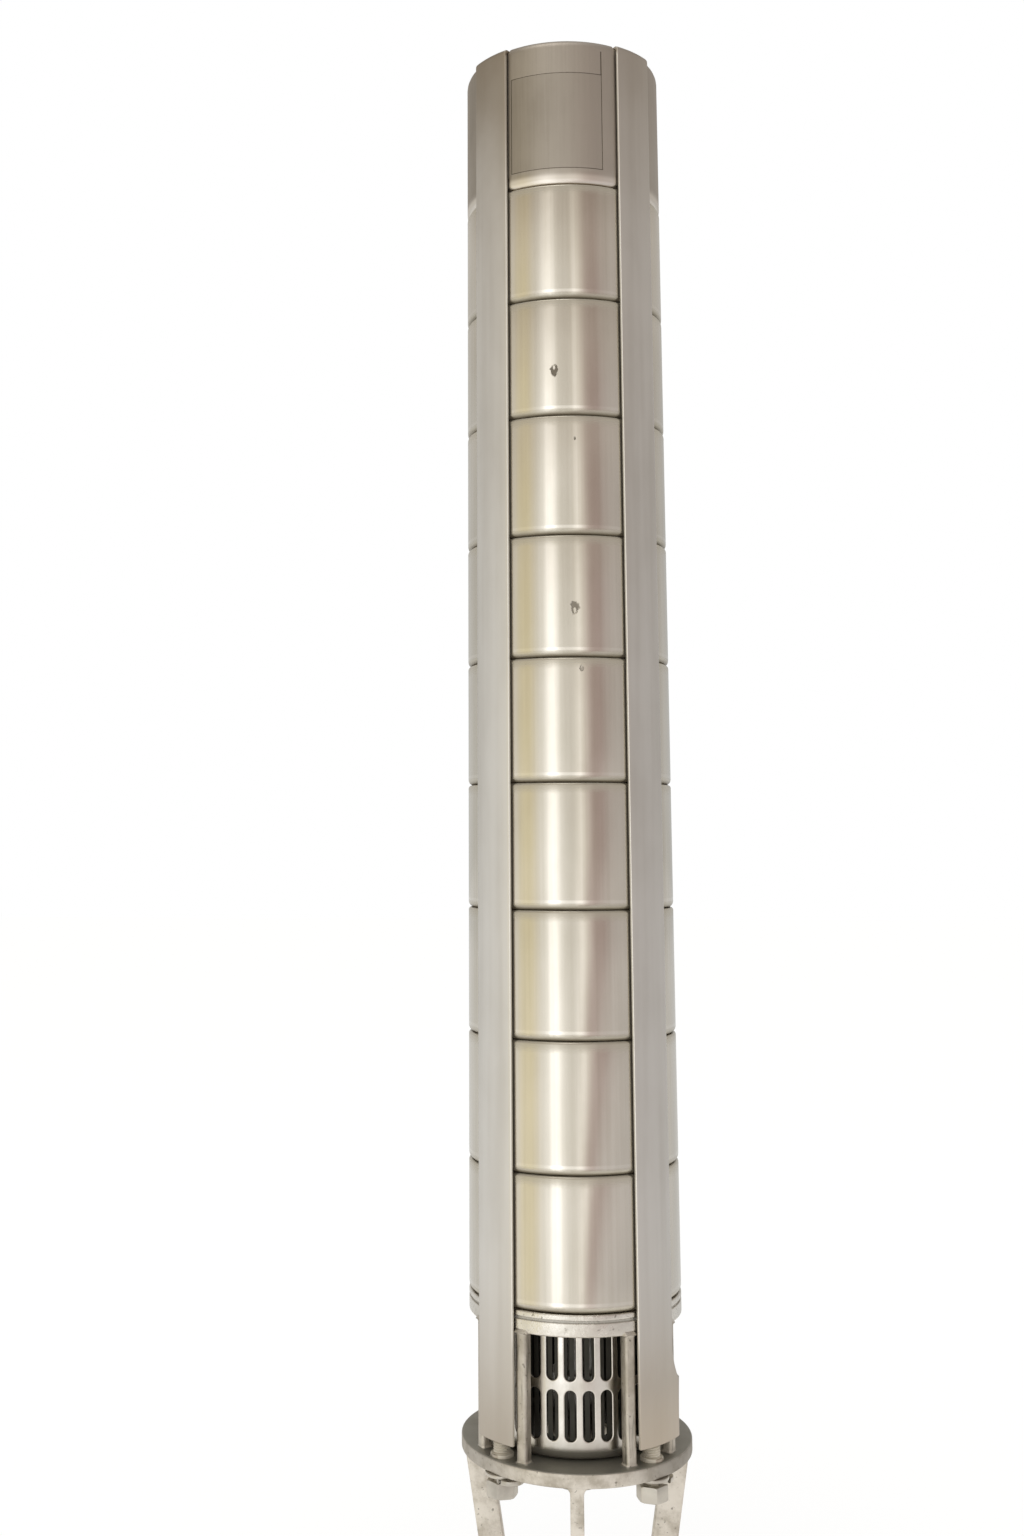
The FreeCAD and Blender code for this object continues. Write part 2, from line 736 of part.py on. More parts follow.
def valve_seal():
    top = seat_pocket_top + valve_rim_h
    seal_r = valve_bore_r + seal_in
    return tube(seal_r + seat_gap, seal_r + seal_w - seat_gap, top - seal_depth, top + seal_proud)


def valve_cup():
    foot = seat_pocket_top + valve_rim_h + cup_lift_gap
    edge_r = valve_bore_r + seal_in
    crown = foot + cup_rise
    stem_top = crown + cup_plate_t + stem_h
    return turned(section(
        (0, crown), (0, stem_top), (stem_r, stem_top), (stem_r, crown + cup_plate_t),
        curve((0.55 * cup_r, crown + cup_plate_t - 1.0), (cup_r, foot + cup_edge_h)),
        (cup_r, foot), (edge_r, foot), dome(edge_r, foot, crown)))


def valve_guide():
    ring_top = guide_ledge_top + guide_ring_h
    ring_r = thread_r - slip_gap
    ring = tube(ring_r - guide_ring_w, ring_r, guide_ledge_top, ring_top)
    bush_r = stem_r + slip_gap
    bush_outer = bush_r + guide_bush_wall
    bush = tube(bush_r, bush_outer, ring_top - guide_bush_h, ring_top)
    reach = ring_r - guide_ring_w + overlap
    rib = section((bush_outer - overlap, ring_top - guide_bush_h + overlap), (reach, guide_ledge_top),
                  (reach, ring_top), (bush_outer - overlap, ring_top))
    rib.translate(FreeCAD.Vector(0, -guide_rib_w / 2, 0))
    rib = rib.extrude(FreeCAD.Vector(0, guide_rib_w, 0))
    return fused([ring, bush] + around(rib, guide_rib_count, 90.0))


def guide_clip():
    low = guide_ledge_top + guide_ring_h
    outer = thread_r + clip_groove_depth - slip_gap
    face = section((outer - clip_w, low), (outer, low), (outer, low + clip_h - slip_gap),
                   (outer - clip_w, low + clip_h - slip_gap))
    return rotated(turned(face, 360.0 - clip_gap_deg), clip_gap_deg / 2 - 90.0)


def build():
    nodes = {
        "suction_casing": suction_casing(),
        "inlet_strainer": inlet_strainer(),
        "inlet_screen": inlet_screen(),
        "strap_washers": at_studs(strap_washer()),
        "strap_lock_washers": at_studs(strap_lock_washer()),
        "strap_nuts": at_studs(strap_nut()),
        "shaft": pump_shaft(),
        "shaft_coupling": shaft_coupling(),
        "coupling_grub_screws": grub_screws(),
        "split_cones": one_per_stage(split_cone()),
        "cone_nuts": one_per_stage(cone_nut()),
        "neck_rings": one_per_stage(neck_ring()),
        "stage_bearings": one_per_stage(stage_bearing()),
        "upthrust_ring": raised(stop_ring(), stage_z(0)),
        "discharge_casing": raised(discharge_casing(), z_discharge),
        "valve_seat": raised(valve_seat(), z_discharge),
        "valve_seal": raised(valve_seal(), z_discharge),
        "valve_cup": raised(valve_cup(), z_discharge),
        "valve_guide": raised(valve_guide(), z_discharge),
        "valve_guide_clip": raised(guide_clip(), z_discharge),
    }
    places = ("rear_right", "rear_left", "front_left", "front_right")
    for i, place in enumerate(places):
        one = strap(place.endswith("right"), place == "front_right")
        nodes["strap_" + place] = rotated(one, strap_first_deg + i * 360.0 / strap_count)
    chamber, wheel, vanes = stage_chamber(), impeller(), guide_vanes()
    for i in range(stage_count):
        number = str(i + 1)
        nodes["stage_chamber_" + number] = raised(chamber, stage_z(i))
        nodes["impeller_" + number] = raised(wheel, stage_z(i))
        nodes["guide_vanes_" + number] = raised(vanes, stage_z(i))
    return nodes


os.makedirs("parts", exist_ok=True)
for name, shape in build().items():
    shape.exportStep("parts/" + name + ".step")
    solids = shape.Solids
    print(name, len(solids), "solids", round(sum(s.Volume for s in solids)), "mm3", shape.isValid())
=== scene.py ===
import json
import math

import bmesh
import bpy
from mathutils import Matrix, Vector, noise


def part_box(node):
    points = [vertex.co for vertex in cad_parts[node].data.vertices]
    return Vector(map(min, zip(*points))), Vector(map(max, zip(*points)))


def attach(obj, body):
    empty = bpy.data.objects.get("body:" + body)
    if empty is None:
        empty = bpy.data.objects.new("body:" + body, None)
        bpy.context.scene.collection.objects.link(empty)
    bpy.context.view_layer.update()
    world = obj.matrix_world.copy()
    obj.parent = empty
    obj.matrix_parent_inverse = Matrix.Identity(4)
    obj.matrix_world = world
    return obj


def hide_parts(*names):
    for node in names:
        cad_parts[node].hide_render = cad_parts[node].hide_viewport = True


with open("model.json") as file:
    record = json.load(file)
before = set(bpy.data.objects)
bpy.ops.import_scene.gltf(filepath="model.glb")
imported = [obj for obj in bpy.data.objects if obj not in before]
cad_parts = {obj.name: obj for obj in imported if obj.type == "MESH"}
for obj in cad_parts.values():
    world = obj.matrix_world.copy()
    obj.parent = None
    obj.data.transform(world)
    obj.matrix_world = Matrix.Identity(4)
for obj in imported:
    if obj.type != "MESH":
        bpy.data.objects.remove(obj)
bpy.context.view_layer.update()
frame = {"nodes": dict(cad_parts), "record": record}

print("frame loaded")

# Sizes that several pieces share, some read from the frame and some given
stageCount = 9
stageBoxes = [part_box("stage_chamber_%d" % (i + 1)) for i in range(stageCount)]
spigotDepth = 0.003
stageFloors = [low.z + spigotDepth for low, high in stageBoxes]
stagePitch = stageFloors[1] - stageFloors[0]
chamberRadius = stageBoxes[0][1].x
stackTop = stageFloors[-1] + stagePitch
flangeLow, flangeTop = 0.140, 0.151
ringLow = 0.247


# Shader tools


class Value:
    # A shader socket that works in Python sums
    def __init__(self, sheet, socket):
        self.sheet, self.socket = sheet, socket

    def __add__(self, other):
        return self.sheet.maths("ADD", self, other)

    def __radd__(self, other):
        return self.sheet.maths("ADD", other, self)

    def __sub__(self, other):
        return self.sheet.maths("SUBTRACT", self, other)

    def __rsub__(self, other):
        return self.sheet.maths("SUBTRACT", other, self)

    def __mul__(self, other):
        return self.sheet.maths("MULTIPLY", self, other)

    def __rmul__(self, other):
        return self.sheet.maths("MULTIPLY", other, self)

    def __truediv__(self, other):
        return self.sheet.maths("DIVIDE", self, other)

    def __rtruediv__(self, other):
        return self.sheet.maths("DIVIDE", other, self)


class Sheet:
    # A node tree and the few nodes that are used again and again
    def __init__(self, tree):
        self.tree = tree

    def node(self, kind, settings=None, sockets=None, output=0):
        # makes a node, sets or links its sockets and hands back one of its outputs
        made = self.tree.nodes.new(kind)
        for name, value in (settings or {}).items():
            if name == "stops":
                self.fillRamp(made.color_ramp, value)
            else:
                setattr(made, name, value)
        for key, value in (sockets or {}).items():
            self.feed(made.inputs[key], value)
        return Value(self, made.outputs[output]) if output is not None else None

    def feed(self, socket, value):
        # links the socket, or sets it to a number, a vector or a colour of three parts
        if isinstance(value, Value):
            self.tree.links.new(value.socket, socket)
        else:
            socket.default_value = (*value, 1) if socket.type == "RGBA" else value

    def maths(self, operation, *values):
        return self.node("ShaderNodeMath", {"operation": operation}, dict(enumerate(values)))

    def fillRamp(self, ramp, stops):
        # every position before any colour, because a position moves its element in the list
        ramp.interpolation = "EASE"
        while len(ramp.elements) < len(stops):
            ramp.elements.new(0.5)
        for element, (position, colour) in zip(ramp.elements, stops):
            element.position = position
        for element, (position, colour) in zip(ramp.elements, stops):
            element.color = (*colour, 1)

    def ramp(self, value, stops):
        return self.node("ShaderNodeValToRGB", {"stops": stops}, {0: value})

    def parts(self, vector):
        return [self.node("ShaderNodeSeparateXYZ", None, {0: vector}, output=i) for i in range(3)]

    def noise(self, place, scale, stretch=(1, 1, 1), detail=3.0, rough=0.55, shift=(0, 0, 0)):
        mapped = self.node("ShaderNodeMapping", None, {"Vector": place, "Scale": stretch, "Location": shift})
        return self.node("ShaderNodeTexNoise", None,
                         {"Vector": mapped, "Scale": scale, "Detail": detail, "Roughness": rough})

    def step(self, value, low, high):
        # 0 below low, 1 above high, smooth between
        return self.node("ShaderNodeMapRange", {"interpolation_type": "SMOOTHSTEP"},
                         {"Value": value, "From Min": low, "From Max": high})

    def bandOf(self, value, low, high, soft):
        return self.step(value, low - soft, low) * (1 - self.step(value, high, high + soft))

    def mix(self, factor, first, second):
        made = self.tree.nodes.new("ShaderNodeMix")
        made.data_type = "RGBA"
        colours = [s for s in made.inputs if s.type == "RGBA"]
        for socket, value in ((made.inputs[0], factor), (colours[0], first), (colours[1], second)):
            self.feed(socket, value)
        return Value(self, next(s for s in made.outputs if s.type == "RGBA"))

    def bump(self, height, distance, strength=1.0, under=None):
        sockets = {"Height": height, "Distance": distance, "Strength": strength}
        if under is not None:
            sockets["Normal"] = under
        return self.node("ShaderNodeBump", None, sockets)


class Finish(Sheet):
    # One material: a principled shader whose sockets take numbers, colours or values
    def __init__(self, name, **sockets):
        self.material = bpy.data.materials.new(name)
        self.material.use_nodes = True
        super().__init__(self.material.node_tree)
        self.shader = self.tree.nodes["Principled BSDF"]
        self.place = self.node("ShaderNodeTexCoord", output=3)
        self.x, self.y, self.z = self.parts(self.place)
        self.set(sockets)

    def set(self, sockets):
        for name, value in sockets.items():
            self.feed(self.shader.inputs[name], value)
        return self.material

    def turn(self):
        # the angle round the shaft, 0 at the front window
        return self.maths("ARCTAN2", self.x, 0 - self.y)

    def fromWindow(self):
        # the angle from the middle of the nearest window, in all four of them
        return self.maths("PINGPONG", self.turn(), math.pi / 4)

    def radius(self):
        return self.maths("SQRT", self.x * self.x + self.y * self.y)


# Materials

strapShape = {"inside": 0.0887, "thick": 0.003, "width": 0.0395, "foot": 0.163, "top": 1.323, "tip": 0.0757,
              "bend": 0.0015, "edge": 0.0008, "flare": 0.009, "flareFull": 0.207, "flareTop": 0.230,
              "flareLead": 0.004, "flareCuts": 9, "flareGuard": 0.02, "steps": 14}
strapOutside = strapShape["inside"] + strapShape["thick"]
windowHalf = math.pi / 4 - strapShape["width"] / 2 / strapOutside
# Bands are heights in a stage: from its floor, or from its top for headBand and overBand
# The seam colours are painted shade at the rounded corners and under and beside the straps, and a painted highlight
# along each lower corner
chamberLook = {"colour": (0.66, 0.62, 0.55), "shade": (0.57, 0.53, 0.455), "cornerShade": (0.36, 0.32, 0.235),
               "line": (0.13, 0.105, 0.07), "cornerGlint": (0.92, 0.88, 0.81), "rough": 0.12,
               "footBand": (0.0004, 0.0066), "headBand": (0.002, 0.010), "seamShadeBand": (0.0006, 0.0036),
               "cornerGlintBand": (0.0062, 0.0076, 0.0012), "cornerGlintTurn": (0.10, 0.30), "seamBand": (0.0003, 0.0009),
               "overBand": (-0.0008, 0.0002), "widen": 0.0030, "widenTurn": 0.07, "strapGapShadeTurn": (0.016, 0.003)}
# Marks left by a tool: degrees from the front, height, half width, how far up its bright spot is, strength
pressMarks = [(-5.9, 1.0244, 0.0036, 0.0025, 1.0), (4.2, 0.8206, 0.0039, -0.0026, 0.8),
              (7.6, 0.7698, 0.0020, 0.0016, 0.4), (5.3, 0.9647, 0.0010, 0.001, 0.8)]


def pressMark(steel, degrees, height, size, lift):
    # where a small ragged mark lies, and the dark part of it
    a = math.radians(degrees)
    ragged = steel.noise(steel.place, 420, detail=3.0, shift=(height, 0, 0))

    def inside(middle, wide):
        centre = (chamberRadius * math.sin(a), -chamberRadius * math.cos(a), middle)
        offset = steel.node("ShaderNodeVectorMath", {"operation": "SUBTRACT"}, {0: steel.place, 1: centre})
        offset = steel.node("ShaderNodeVectorMath", {"operation": "MULTIPLY"}, {0: offset, 1: (1, 1, 0.62)})
        away = steel.node("ShaderNodeVectorMath", {"operation": "LENGTH"}, {0: offset}, 1)
        return 1 - steel.step(away / wide + (ragged - 0.5) * 1.1, 0.62, 0.95)

    whole = inside(height, size)
    return whole, whole * (1 - inside(height + lift, 0.42 * size))


def chamberSteel():
    look = chamberLook
    steel = Finish("chamberSteel", Metallic=1.0)
    within = steel.maths("MODULO", steel.z - stageFloors[0] + stagePitch, stagePitch)
    fromTop = stagePitch - within
    fromWindow = steel.fromWindow()
    drawn = steel.noise(steel.place, 260, (1, 1, 0.012), 2.0)
    cloud = steel.noise(steel.place, 22, (1, 1, 0.5), 4.0)
    patch = steel.noise(steel.place, 120, (1, 1, 1), 4.0, 0.6)
    spread = 0.75 + 0.5 * patch
    # painted shade: olive bands along each chamber's rounded lower corner and, half as strong, its upper corner
    foot = 1 - steel.step(within / spread, *look["footBand"])
    # painted shade: darker just above each seam
    seamShade = 1 - steel.step(within / spread, *look["seamShadeBand"])
    head = 1 - steel.step(fromTop / spread, *look["headBand"])
    cornerShade = 1 - (1 - foot) * (1 - 0.5 * head)
    # painted highlight: the lower corner starts with a bright line
    cornerGlint = steel.bandOf(within, *look["cornerGlintBand"]) * (0.58 - 0.42 * steel.step(fromWindow, *look["cornerGlintTurn"]))
    # painted shade: the dark seam line widens where it runs under a strap
    near = steel.step(fromWindow, windowHalf - look["widenTurn"], windowHalf)
    widen = look["widen"] * near * near
    seam = 1 - steel.step(within - widen, *look["seamBand"])
    over = 1 - steel.step(fromTop - widen, *look["overBand"])
    # painted shade: darker and less metallic beside each strap's edge
    strapGapShade = steel.step(fromWindow, *(windowHalf - turn for turn in look["strapGapShadeTurn"]))
    # the seam's dark joint line together with the painted shade under and beside the straps
    line = 1 - (1 - seam) * (1 - strapGapShade) * (1 - 0.8 * over)
    body = steel.mix(steel.step(drawn * 0.4 + cloud * 0.6, 0.3, 0.75), look["colour"], look["shade"])
    body = steel.mix(cornerGlint, body, look["cornerGlint"])
    body = steel.mix(cornerShade, body, look["cornerShade"])
    body = steel.mix(seamShade * 0.6, body, look["line"])
    dark, dent = 0.0, 0.0
    for degrees, height, size, lift, strength in pressMarks:
        whole, part = pressMark(steel, degrees, height, size, lift)
        dark, dent = dark + strength * part, dent + whole
    waves = steel.noise(steel.place, 9, (1, 1, 0.35), 2.0)
    lines = steel.bump(drawn, 0.00002, 0.35)
    return steel.set({
        "Base Color": steel.mix(line * 0.88 + dark * 0.9, body, look["line"]),
        "Metallic": (1 - 0.85 * cornerShade - 0.7 * dark) * (1 - 0.5 * strapGapShade),
        "Roughness": look["rough"] + 0.06 * patch + 0.05 * drawn + 0.15 * cornerShade + 0.3 * dark,
        "Normal": steel.bump(waves, 0.0016, 0.3, steel.bump(0 - dent - dark, 0.0006, 0.8, lines))})


# The strap's colours hold painted shade at its ends, cut faces and inner edge, and a painted highlight on its long
# arrises
strapLook = {"colour": (0.73, 0.71, 0.67), "shade": (0.62, 0.595, 0.55), "cutFaceShade": (0.62, 0.57, 0.475),
             "rightEndShade": (0.45, 0.39, 0.315), "hook": (0.33, 0.275, 0.205), "arrisGlint": (0.93, 0.90, 0.83),
             "shadow": (0.05, 0.045, 0.03), "rough": 0.30, "topBand": (1.16, 1.40), "footBand": (0.19, 0.36),
             "lowEnd": (0.232, 0.244), "highEnd": (0.009, 0.005), "deepBand": (0.0020, 0.0026),
             "shadowBand": (0.0002, 0.0012), "hookBand": (1.15, 1.25), "arrisTurn": (0.002, 0.007)}


def strapSteel():
    look = strapLook
    steel = Finish("strapSteel", Metallic=1.0)
    mill = steel.noise(steel.place, 420, (1, 1, 0.01), 3.0)
    broad = steel.noise(steel.place, 60, (1, 1, 0.04), 2.0)
    cloud = steel.noise(steel.place, 14, (1, 1, 0.6), 4.0, 0.6)
    right = steel.step(steel.x, -0.02, 0.02)
    # painted shade: darker at the top, most on the left, and towards the foot, most on the right; the left side takes
    # a darker brown
    height = steel.z + 0.1 * cloud
    endShade = (0.9 - 0.35 * right) * steel.step(height, *look["topBand"])
    endShade = endShade + (0.7 + 0.25 * right) * (1 - steel.step(height, *look["footBand"]))
    deepness = steel.radius() - strapShape["inside"]
    below = 1 - steel.step(steel.z, *(strapShape["top"] - drop for drop in look["highEnd"]))
    above = steel.step(steel.z, *look["lowEnd"]) * below
    # painted shade: a less metallic brown on the strap's cut faces and inner face
    deep = (1 - steel.step(deepness, *look["deepBand"])) * below
    shadow = (1 - steel.step(deepness, *look["shadowBand"])) * above
    # painted highlight: the bright arris along each long edge, weaker near the hook, where the cut faces take a
    # painted shade, most on the left
    hook = steel.step(steel.z, *look["hookBand"]) * (0.75 - 0.45 * right)
    arrisGlint = (1 - steel.step(steel.fromWindow(), *(windowHalf + turn for turn in look["arrisTurn"]))) * (1 - deep)
    arrisGlint = arrisGlint * above * (1 - hook)
    body = steel.mix(steel.step(broad * 0.6 + cloud * 0.4, 0.35, 0.7), look["colour"], look["shade"])
    body = steel.mix(endShade, body, steel.mix(right, look["hook"], look["rightEndShade"]))
    body = steel.mix(deep * 0.9, body, steel.mix(hook, look["cutFaceShade"], look["hook"]))
    body = steel.mix(shadow * 0.85, body, look["shadow"])
    return steel.set({
        "Base Color": steel.mix(arrisGlint, body, look["arrisGlint"]),
        "Metallic": 1 - 0.75 * deep - 0.6 * arrisGlint,
        "Roughness": look["rough"] + 0.12 * mill + 0.08 * cloud,
        "Normal": steel.bump(broad, 0.0008, 0.25, steel.bump(mill, 0.00003, 0.5))})


# The lower colours are painted shade and reflection towards the flange
strainerLook = {"colour": (0.72, 0.69, 0.64), "shade": (0.60, 0.57, 0.51), "low": (0.42, 0.395, 0.345),
                "foot": (0.14, 0.13, 0.105), "footBand": (0.0065, 0.0095), "lowShadeBand": (0.010, 0.022)}


def sheetSteel():
    look = strainerLook
    steel = Finish("strainerSteel", Metallic=1.0)
    cloud = steel.noise(steel.place, 70, (1, 1, 0.6), 4.0, 0.6)
    grain = steel.noise(steel.place, 700, (1, 1, 0.2), 2.0)
    # painted shade and reflection: darker towards the flange, and near black in the lowest band, where the wall
    # mirrors the dark flange top
    foot = 1 - steel.step(steel.z, *(flangeTop + z for z in look["footBand"]))
    low = 1 - steel.step(steel.z, *(flangeTop + z for z in look["lowShadeBand"]))
    body = steel.mix(steel.step(cloud, 0.35, 0.75), look["colour"], look["shade"])
    body = steel.mix(low * 0.4, body, look["low"])
    return steel.set({
        "Base Color": steel.mix(foot * 0.85, body, look["foot"]),
        "Metallic": 1 - 0.4 * foot,
        "Roughness": 0.16 + 0.12 * cloud + 0.05 * grain,
        "Normal": steel.bump(cloud, 0.0005, 0.3, steel.bump(grain, 0.00003, 0.5))})


# The flange top's dark colour, the rim's darker sides and the groove's darkening are painted shade
castLook = {"colour": (0.78, 0.74, 0.67), "shade": (0.47, 0.43, 0.36), "stainAndShade": (0.12, 0.105, 0.075),
            "machinedTopShade": (0.29, 0.28, 0.24), "ring": (0.72, 0.695, 0.64), "rimSideShade": (0.20, 0.18, 0.15),
            "rimRadius": (0.0925, 0.0935), "rimSideShadeBand": (0.03, 0.08), "grooveDrop": 0.0045, "groove": 0.002,
            "grooveRadius": (0.0864, 0.0872)}


def suctionCasting():
    look = castLook
    cast = Finish("suctionCasting", Metallic=1.0)
    grain = cast.noise(cast.place, 900, detail=3.0, rough=0.6)
    lumps = cast.noise(cast.place, 170, detail=3.0, rough=0.5)
    cloud = cast.noise(cast.place, 45, detail=5.0, rough=0.65)
    pits = cast.step(cast.noise(cast.place, 330, detail=1.0), 0.66, 0.78)
    # painted shade: the smooth machined flange top is dark
    top = cast.bandOf(cast.z, flangeTop - 0.0004, flangeTop + 0.0004, 0.0004)
    ring = cast.step(cast.z, ringLow, ringLow + 0.002)
    columns = cast.bandOf(cast.z, flangeTop + 0.003, ringLow - 0.002, 0.002)
    body = cast.mix(cast.step(cloud, 0.38, 0.72), look["colour"], look["shade"])
    body = cast.mix(ring * 0.6, body, look["ring"])
    body = cast.mix(columns * 0.45, body, look["shade"])
    streaks = cast.step(cast.noise(cast.place, 240, (1, 1, 0.1), 3.0), 0.5, 0.68)
    body = cast.mix(columns * streaks * 0.55, body, look["stainAndShade"])
    # painted shade: the flange's rim is darker to the sides, most of all to the right
    radius = cast.radius()
    rim = cast.step(radius, *look["rimRadius"]) * cast.bandOf(cast.z, flangeLow, flangeTop - 0.001, 0.0006)
    rimSideShade = 0.45 * cast.step(0 - cast.x, *look["rimSideShadeBand"]) + 0.7 * cast.step(cast.x, *look["rimSideShadeBand"])
    body = cast.mix(rim * rimSideShade, body, look["rimSideShade"])
    body = cast.mix(pits * 0.6, body, look["stainAndShade"])
    # painted shade in the groove under the ring's top rim, less metallic; the same colour also stains pits and
    # streaks
    grooveTop = stageFloors[0] - look["grooveDrop"]
    groove = cast.bandOf(cast.z, grooveTop - look["groove"], grooveTop, 0.0002)
    groove = groove * (1 - cast.step(radius, *look["grooveRadius"]))
    body = cast.mix(groove * 0.35, body, look["stainAndShade"])
    return cast.set({
        "Base Color": cast.mix(top * 0.92, body, look["machinedTopShade"]),
        "Metallic": 1 - 0.6 * groove - 0.2 * top,
        "Roughness": 0.42 + 0.16 * cloud + 0.1 * grain - 0.08 * top - 0.27 * ring,
        "Normal": cast.bump(lumps * (1 - top), 0.0009, 0.55, cast.bump(grain, 0.0003, 0.6))})


labelLook = {"left": -0.53, "right": 0.41, "low": stackTop + 0.0145, "high": stackTop + 0.1025, "line": 0.0007,
             "tail": stackTop + 0.124}
# The darker left, the lighter right and the lighter foot are painted shade and light
casingLook = {"colour": (0.50, 0.455, 0.395), "shade": (0.41, 0.37, 0.315), "plate": (0.30, 0.265, 0.22),
              "dark": (0.12, 0.09, 0.06), "light": (0.62, 0.575, 0.515), "foot": (0.74, 0.69, 0.62),
              "etched": (0.07, 0.055, 0.035), "groove": (0.12, 0.11, 0.09), "thread": 0.00231,
              "threadRadius": (0.0665, 0.0681), "threadFoot": (0.093, 0.095), "footBand": (0.006, 0.011),
              "brushedFrom": (0.010, 0.014)}


def dischargeCasting():
    cast = Finish("dischargeCasting", Metallic=1.0)
    look, label = casingLook, labelLook
    angle, above = cast.turn(), cast.z - stackTop
    brushed = cast.noise(cast.place, 500, (1, 1, 0.02), 3.0)
    cloud = cast.noise(cast.place, 26, (1, 1, 0.7), 4.0, 0.6)
    radius = cast.radius()
    outside = cast.step(radius, 0.080, 0.082)
    side = label["line"] / chamberRadius / 2

    def withinFrame(grow):
        # up to the frame line's outer edge for 1, and to its inner edge for -1
        lift = (1 - grow) / 2 * label["line"]
        wide = cast.bandOf(angle, label["left"] - grow * side, label["right"] + grow * side, side)
        return wide * cast.bandOf(cast.z, label["low"] + lift, label["high"] - lift, label["line"] / 2)

    plate = withinFrame(-1)
    # the frame's right line runs on above its upper corner
    tail = cast.bandOf(angle, label["right"] - side, label["right"] + side, side)
    tail = tail * cast.bandOf(cast.z, label["high"], label["tail"], 0.0004)
    etched = (withinFrame(1) * (1 - plate) + tail) * outside
    turns = cast.maths("PINGPONG", cast.z + angle * (look["thread"] / math.tau), look["thread"] / 2)
    threaded = cast.bandOf(radius, *look["threadRadius"], 0.0002) * cast.step(above, *look["threadFoot"])
    body = cast.mix(cast.step(brushed * 0.4 + cloud * 0.6, 0.35, 0.7), look["colour"], look["shade"])
    body = cast.mix(plate * outside * 0.35, body, look["plate"])
    # painted shade and light: darker on the left and lighter on the right
    body = cast.mix(0.2, body, look["dark"])
    body = cast.mix(cast.step(cast.x, -0.05, 0.05) * 0.55, body, look["light"])
    # painted highlight: a lighter band along the casing's rounded foot
    body = cast.mix(1 - cast.step(above, *look["footBand"]), body, look["foot"])
    body = cast.mix(etched * 0.8, body, look["etched"])
    # painted shade in the roots of the thread
    groove = turns * (2 / look["thread"])
    body = cast.mix(threaded * (1 - groove) * 0.7, body, look["groove"])
    return cast.set({
        "Base Color": body,
        "Roughness": 0.22 + 0.16 * cast.step(above, *look["brushedFrom"]) + 0.12 * brushed + 0.08 * cloud,
        "Normal": cast.bump(brushed - 6 * etched, 0.00004, 0.8, cast.bump(groove * threaded, 0.0012, 0.9))})


def turnedSteel(name, colour, rough, rings):
    # lathe-turned steel, with rings along the shaft's axis
    steel = Finish(name, Metallic=1.0)
    ring = steel.noise(steel.place, rings, (0.03, 0.03, 1), 2.0)
    cloud = steel.noise(steel.place, 60, detail=4.0)
    shade = tuple(0.8 * c for c in colour)
    return steel.set({
        "Base Color": steel.mix(steel.step(cloud, 0.4, 0.7), colour, shade),
        "Roughness": rough + 0.1 * ring + 0.06 * cloud,
        "Normal": steel.bump(ring, 0.00005, 0.6)})


def pressedSteel():
    steel = Finish("pressedSteel", Metallic=1.0)
    cloud = steel.noise(steel.place, 50, detail=4.0)
    grain = steel.noise(steel.place, 800, detail=2.0)
    return steel.set({
        "Base Color": steel.mix(steel.step(cloud, 0.4, 0.7), (0.60, 0.58, 0.54), (0.50, 0.48, 0.44)),
        "Roughness": 0.3 + 0.14 * cloud + 0.05 * grain,
        "Normal": steel.bump(grain, 0.00005, 0.5)})


def blackRubber():
    rubber = Finish("blackRubber", Metallic=0.0)
    grain = rubber.noise(rubber.place, 1500, detail=2.0)
    dust = rubber.noise(rubber.place, 90, detail=4.0)
    return rubber.set({
        "Base Color": rubber.mix(rubber.step(dust, 0.5, 0.8), (0.022, 0.022, 0.023), (0.06, 0.058, 0.054)),
        "Roughness": 0.55 + 0.2 * dust,
        "Normal": rubber.bump(grain, 0.0001, 0.4)})


def weldSteel():
    weld = Finish("weldSteel", Metallic=1.0)
    burnt = weld.noise(weld.place, 420, detail=4.0, rough=0.6)
    return weld.set({
        "Base Color": weld.mix(weld.step(burnt, 0.35, 0.65), (0.50, 0.46, 0.38), (0.13, 0.11, 0.08)),
        "Roughness": 0.35 + 0.25 * burnt,
        "Normal": weld.bump(burnt, 0.0003, 0.6)})


finishes = {
    "drawn_chamber": chamberSteel(),
    "strap_sheet": strapSteel(),
    "strainer_sheet": sheetSteel(),
    "suction_casting": suctionCasting(),
    "discharge_casting": dischargeCasting(),
    "pressed_steel": pressedSteel(),
    "turned_steel": turnedSteel("turnedSteel", (0.62, 0.605, 0.57), 0.22, 1600),
    "fastener_steel": turnedSteel("fastenerSteel", (0.58, 0.55, 0.49), 0.34, 500),
    "black_rubber": blackRubber(),
}
weld = weldSteel()
# painted shade: the screen inside the strainer is near black for the dark inside
screen = turnedSteel("shadeScreenSteel", (0.06, 0.058, 0.05), 0.5, 900)
slotOf = {part["node"]: part["material_slot"] for part in frame["record"]["subparts"]}
for name, cadNode in frame["nodes"].items():
    cadNode.data.materials.clear()
    cadNode.data.materials.append(screen if name == "inlet_screen" else finishes[slotOf[name]])
print("materials made")


# Mesh tools


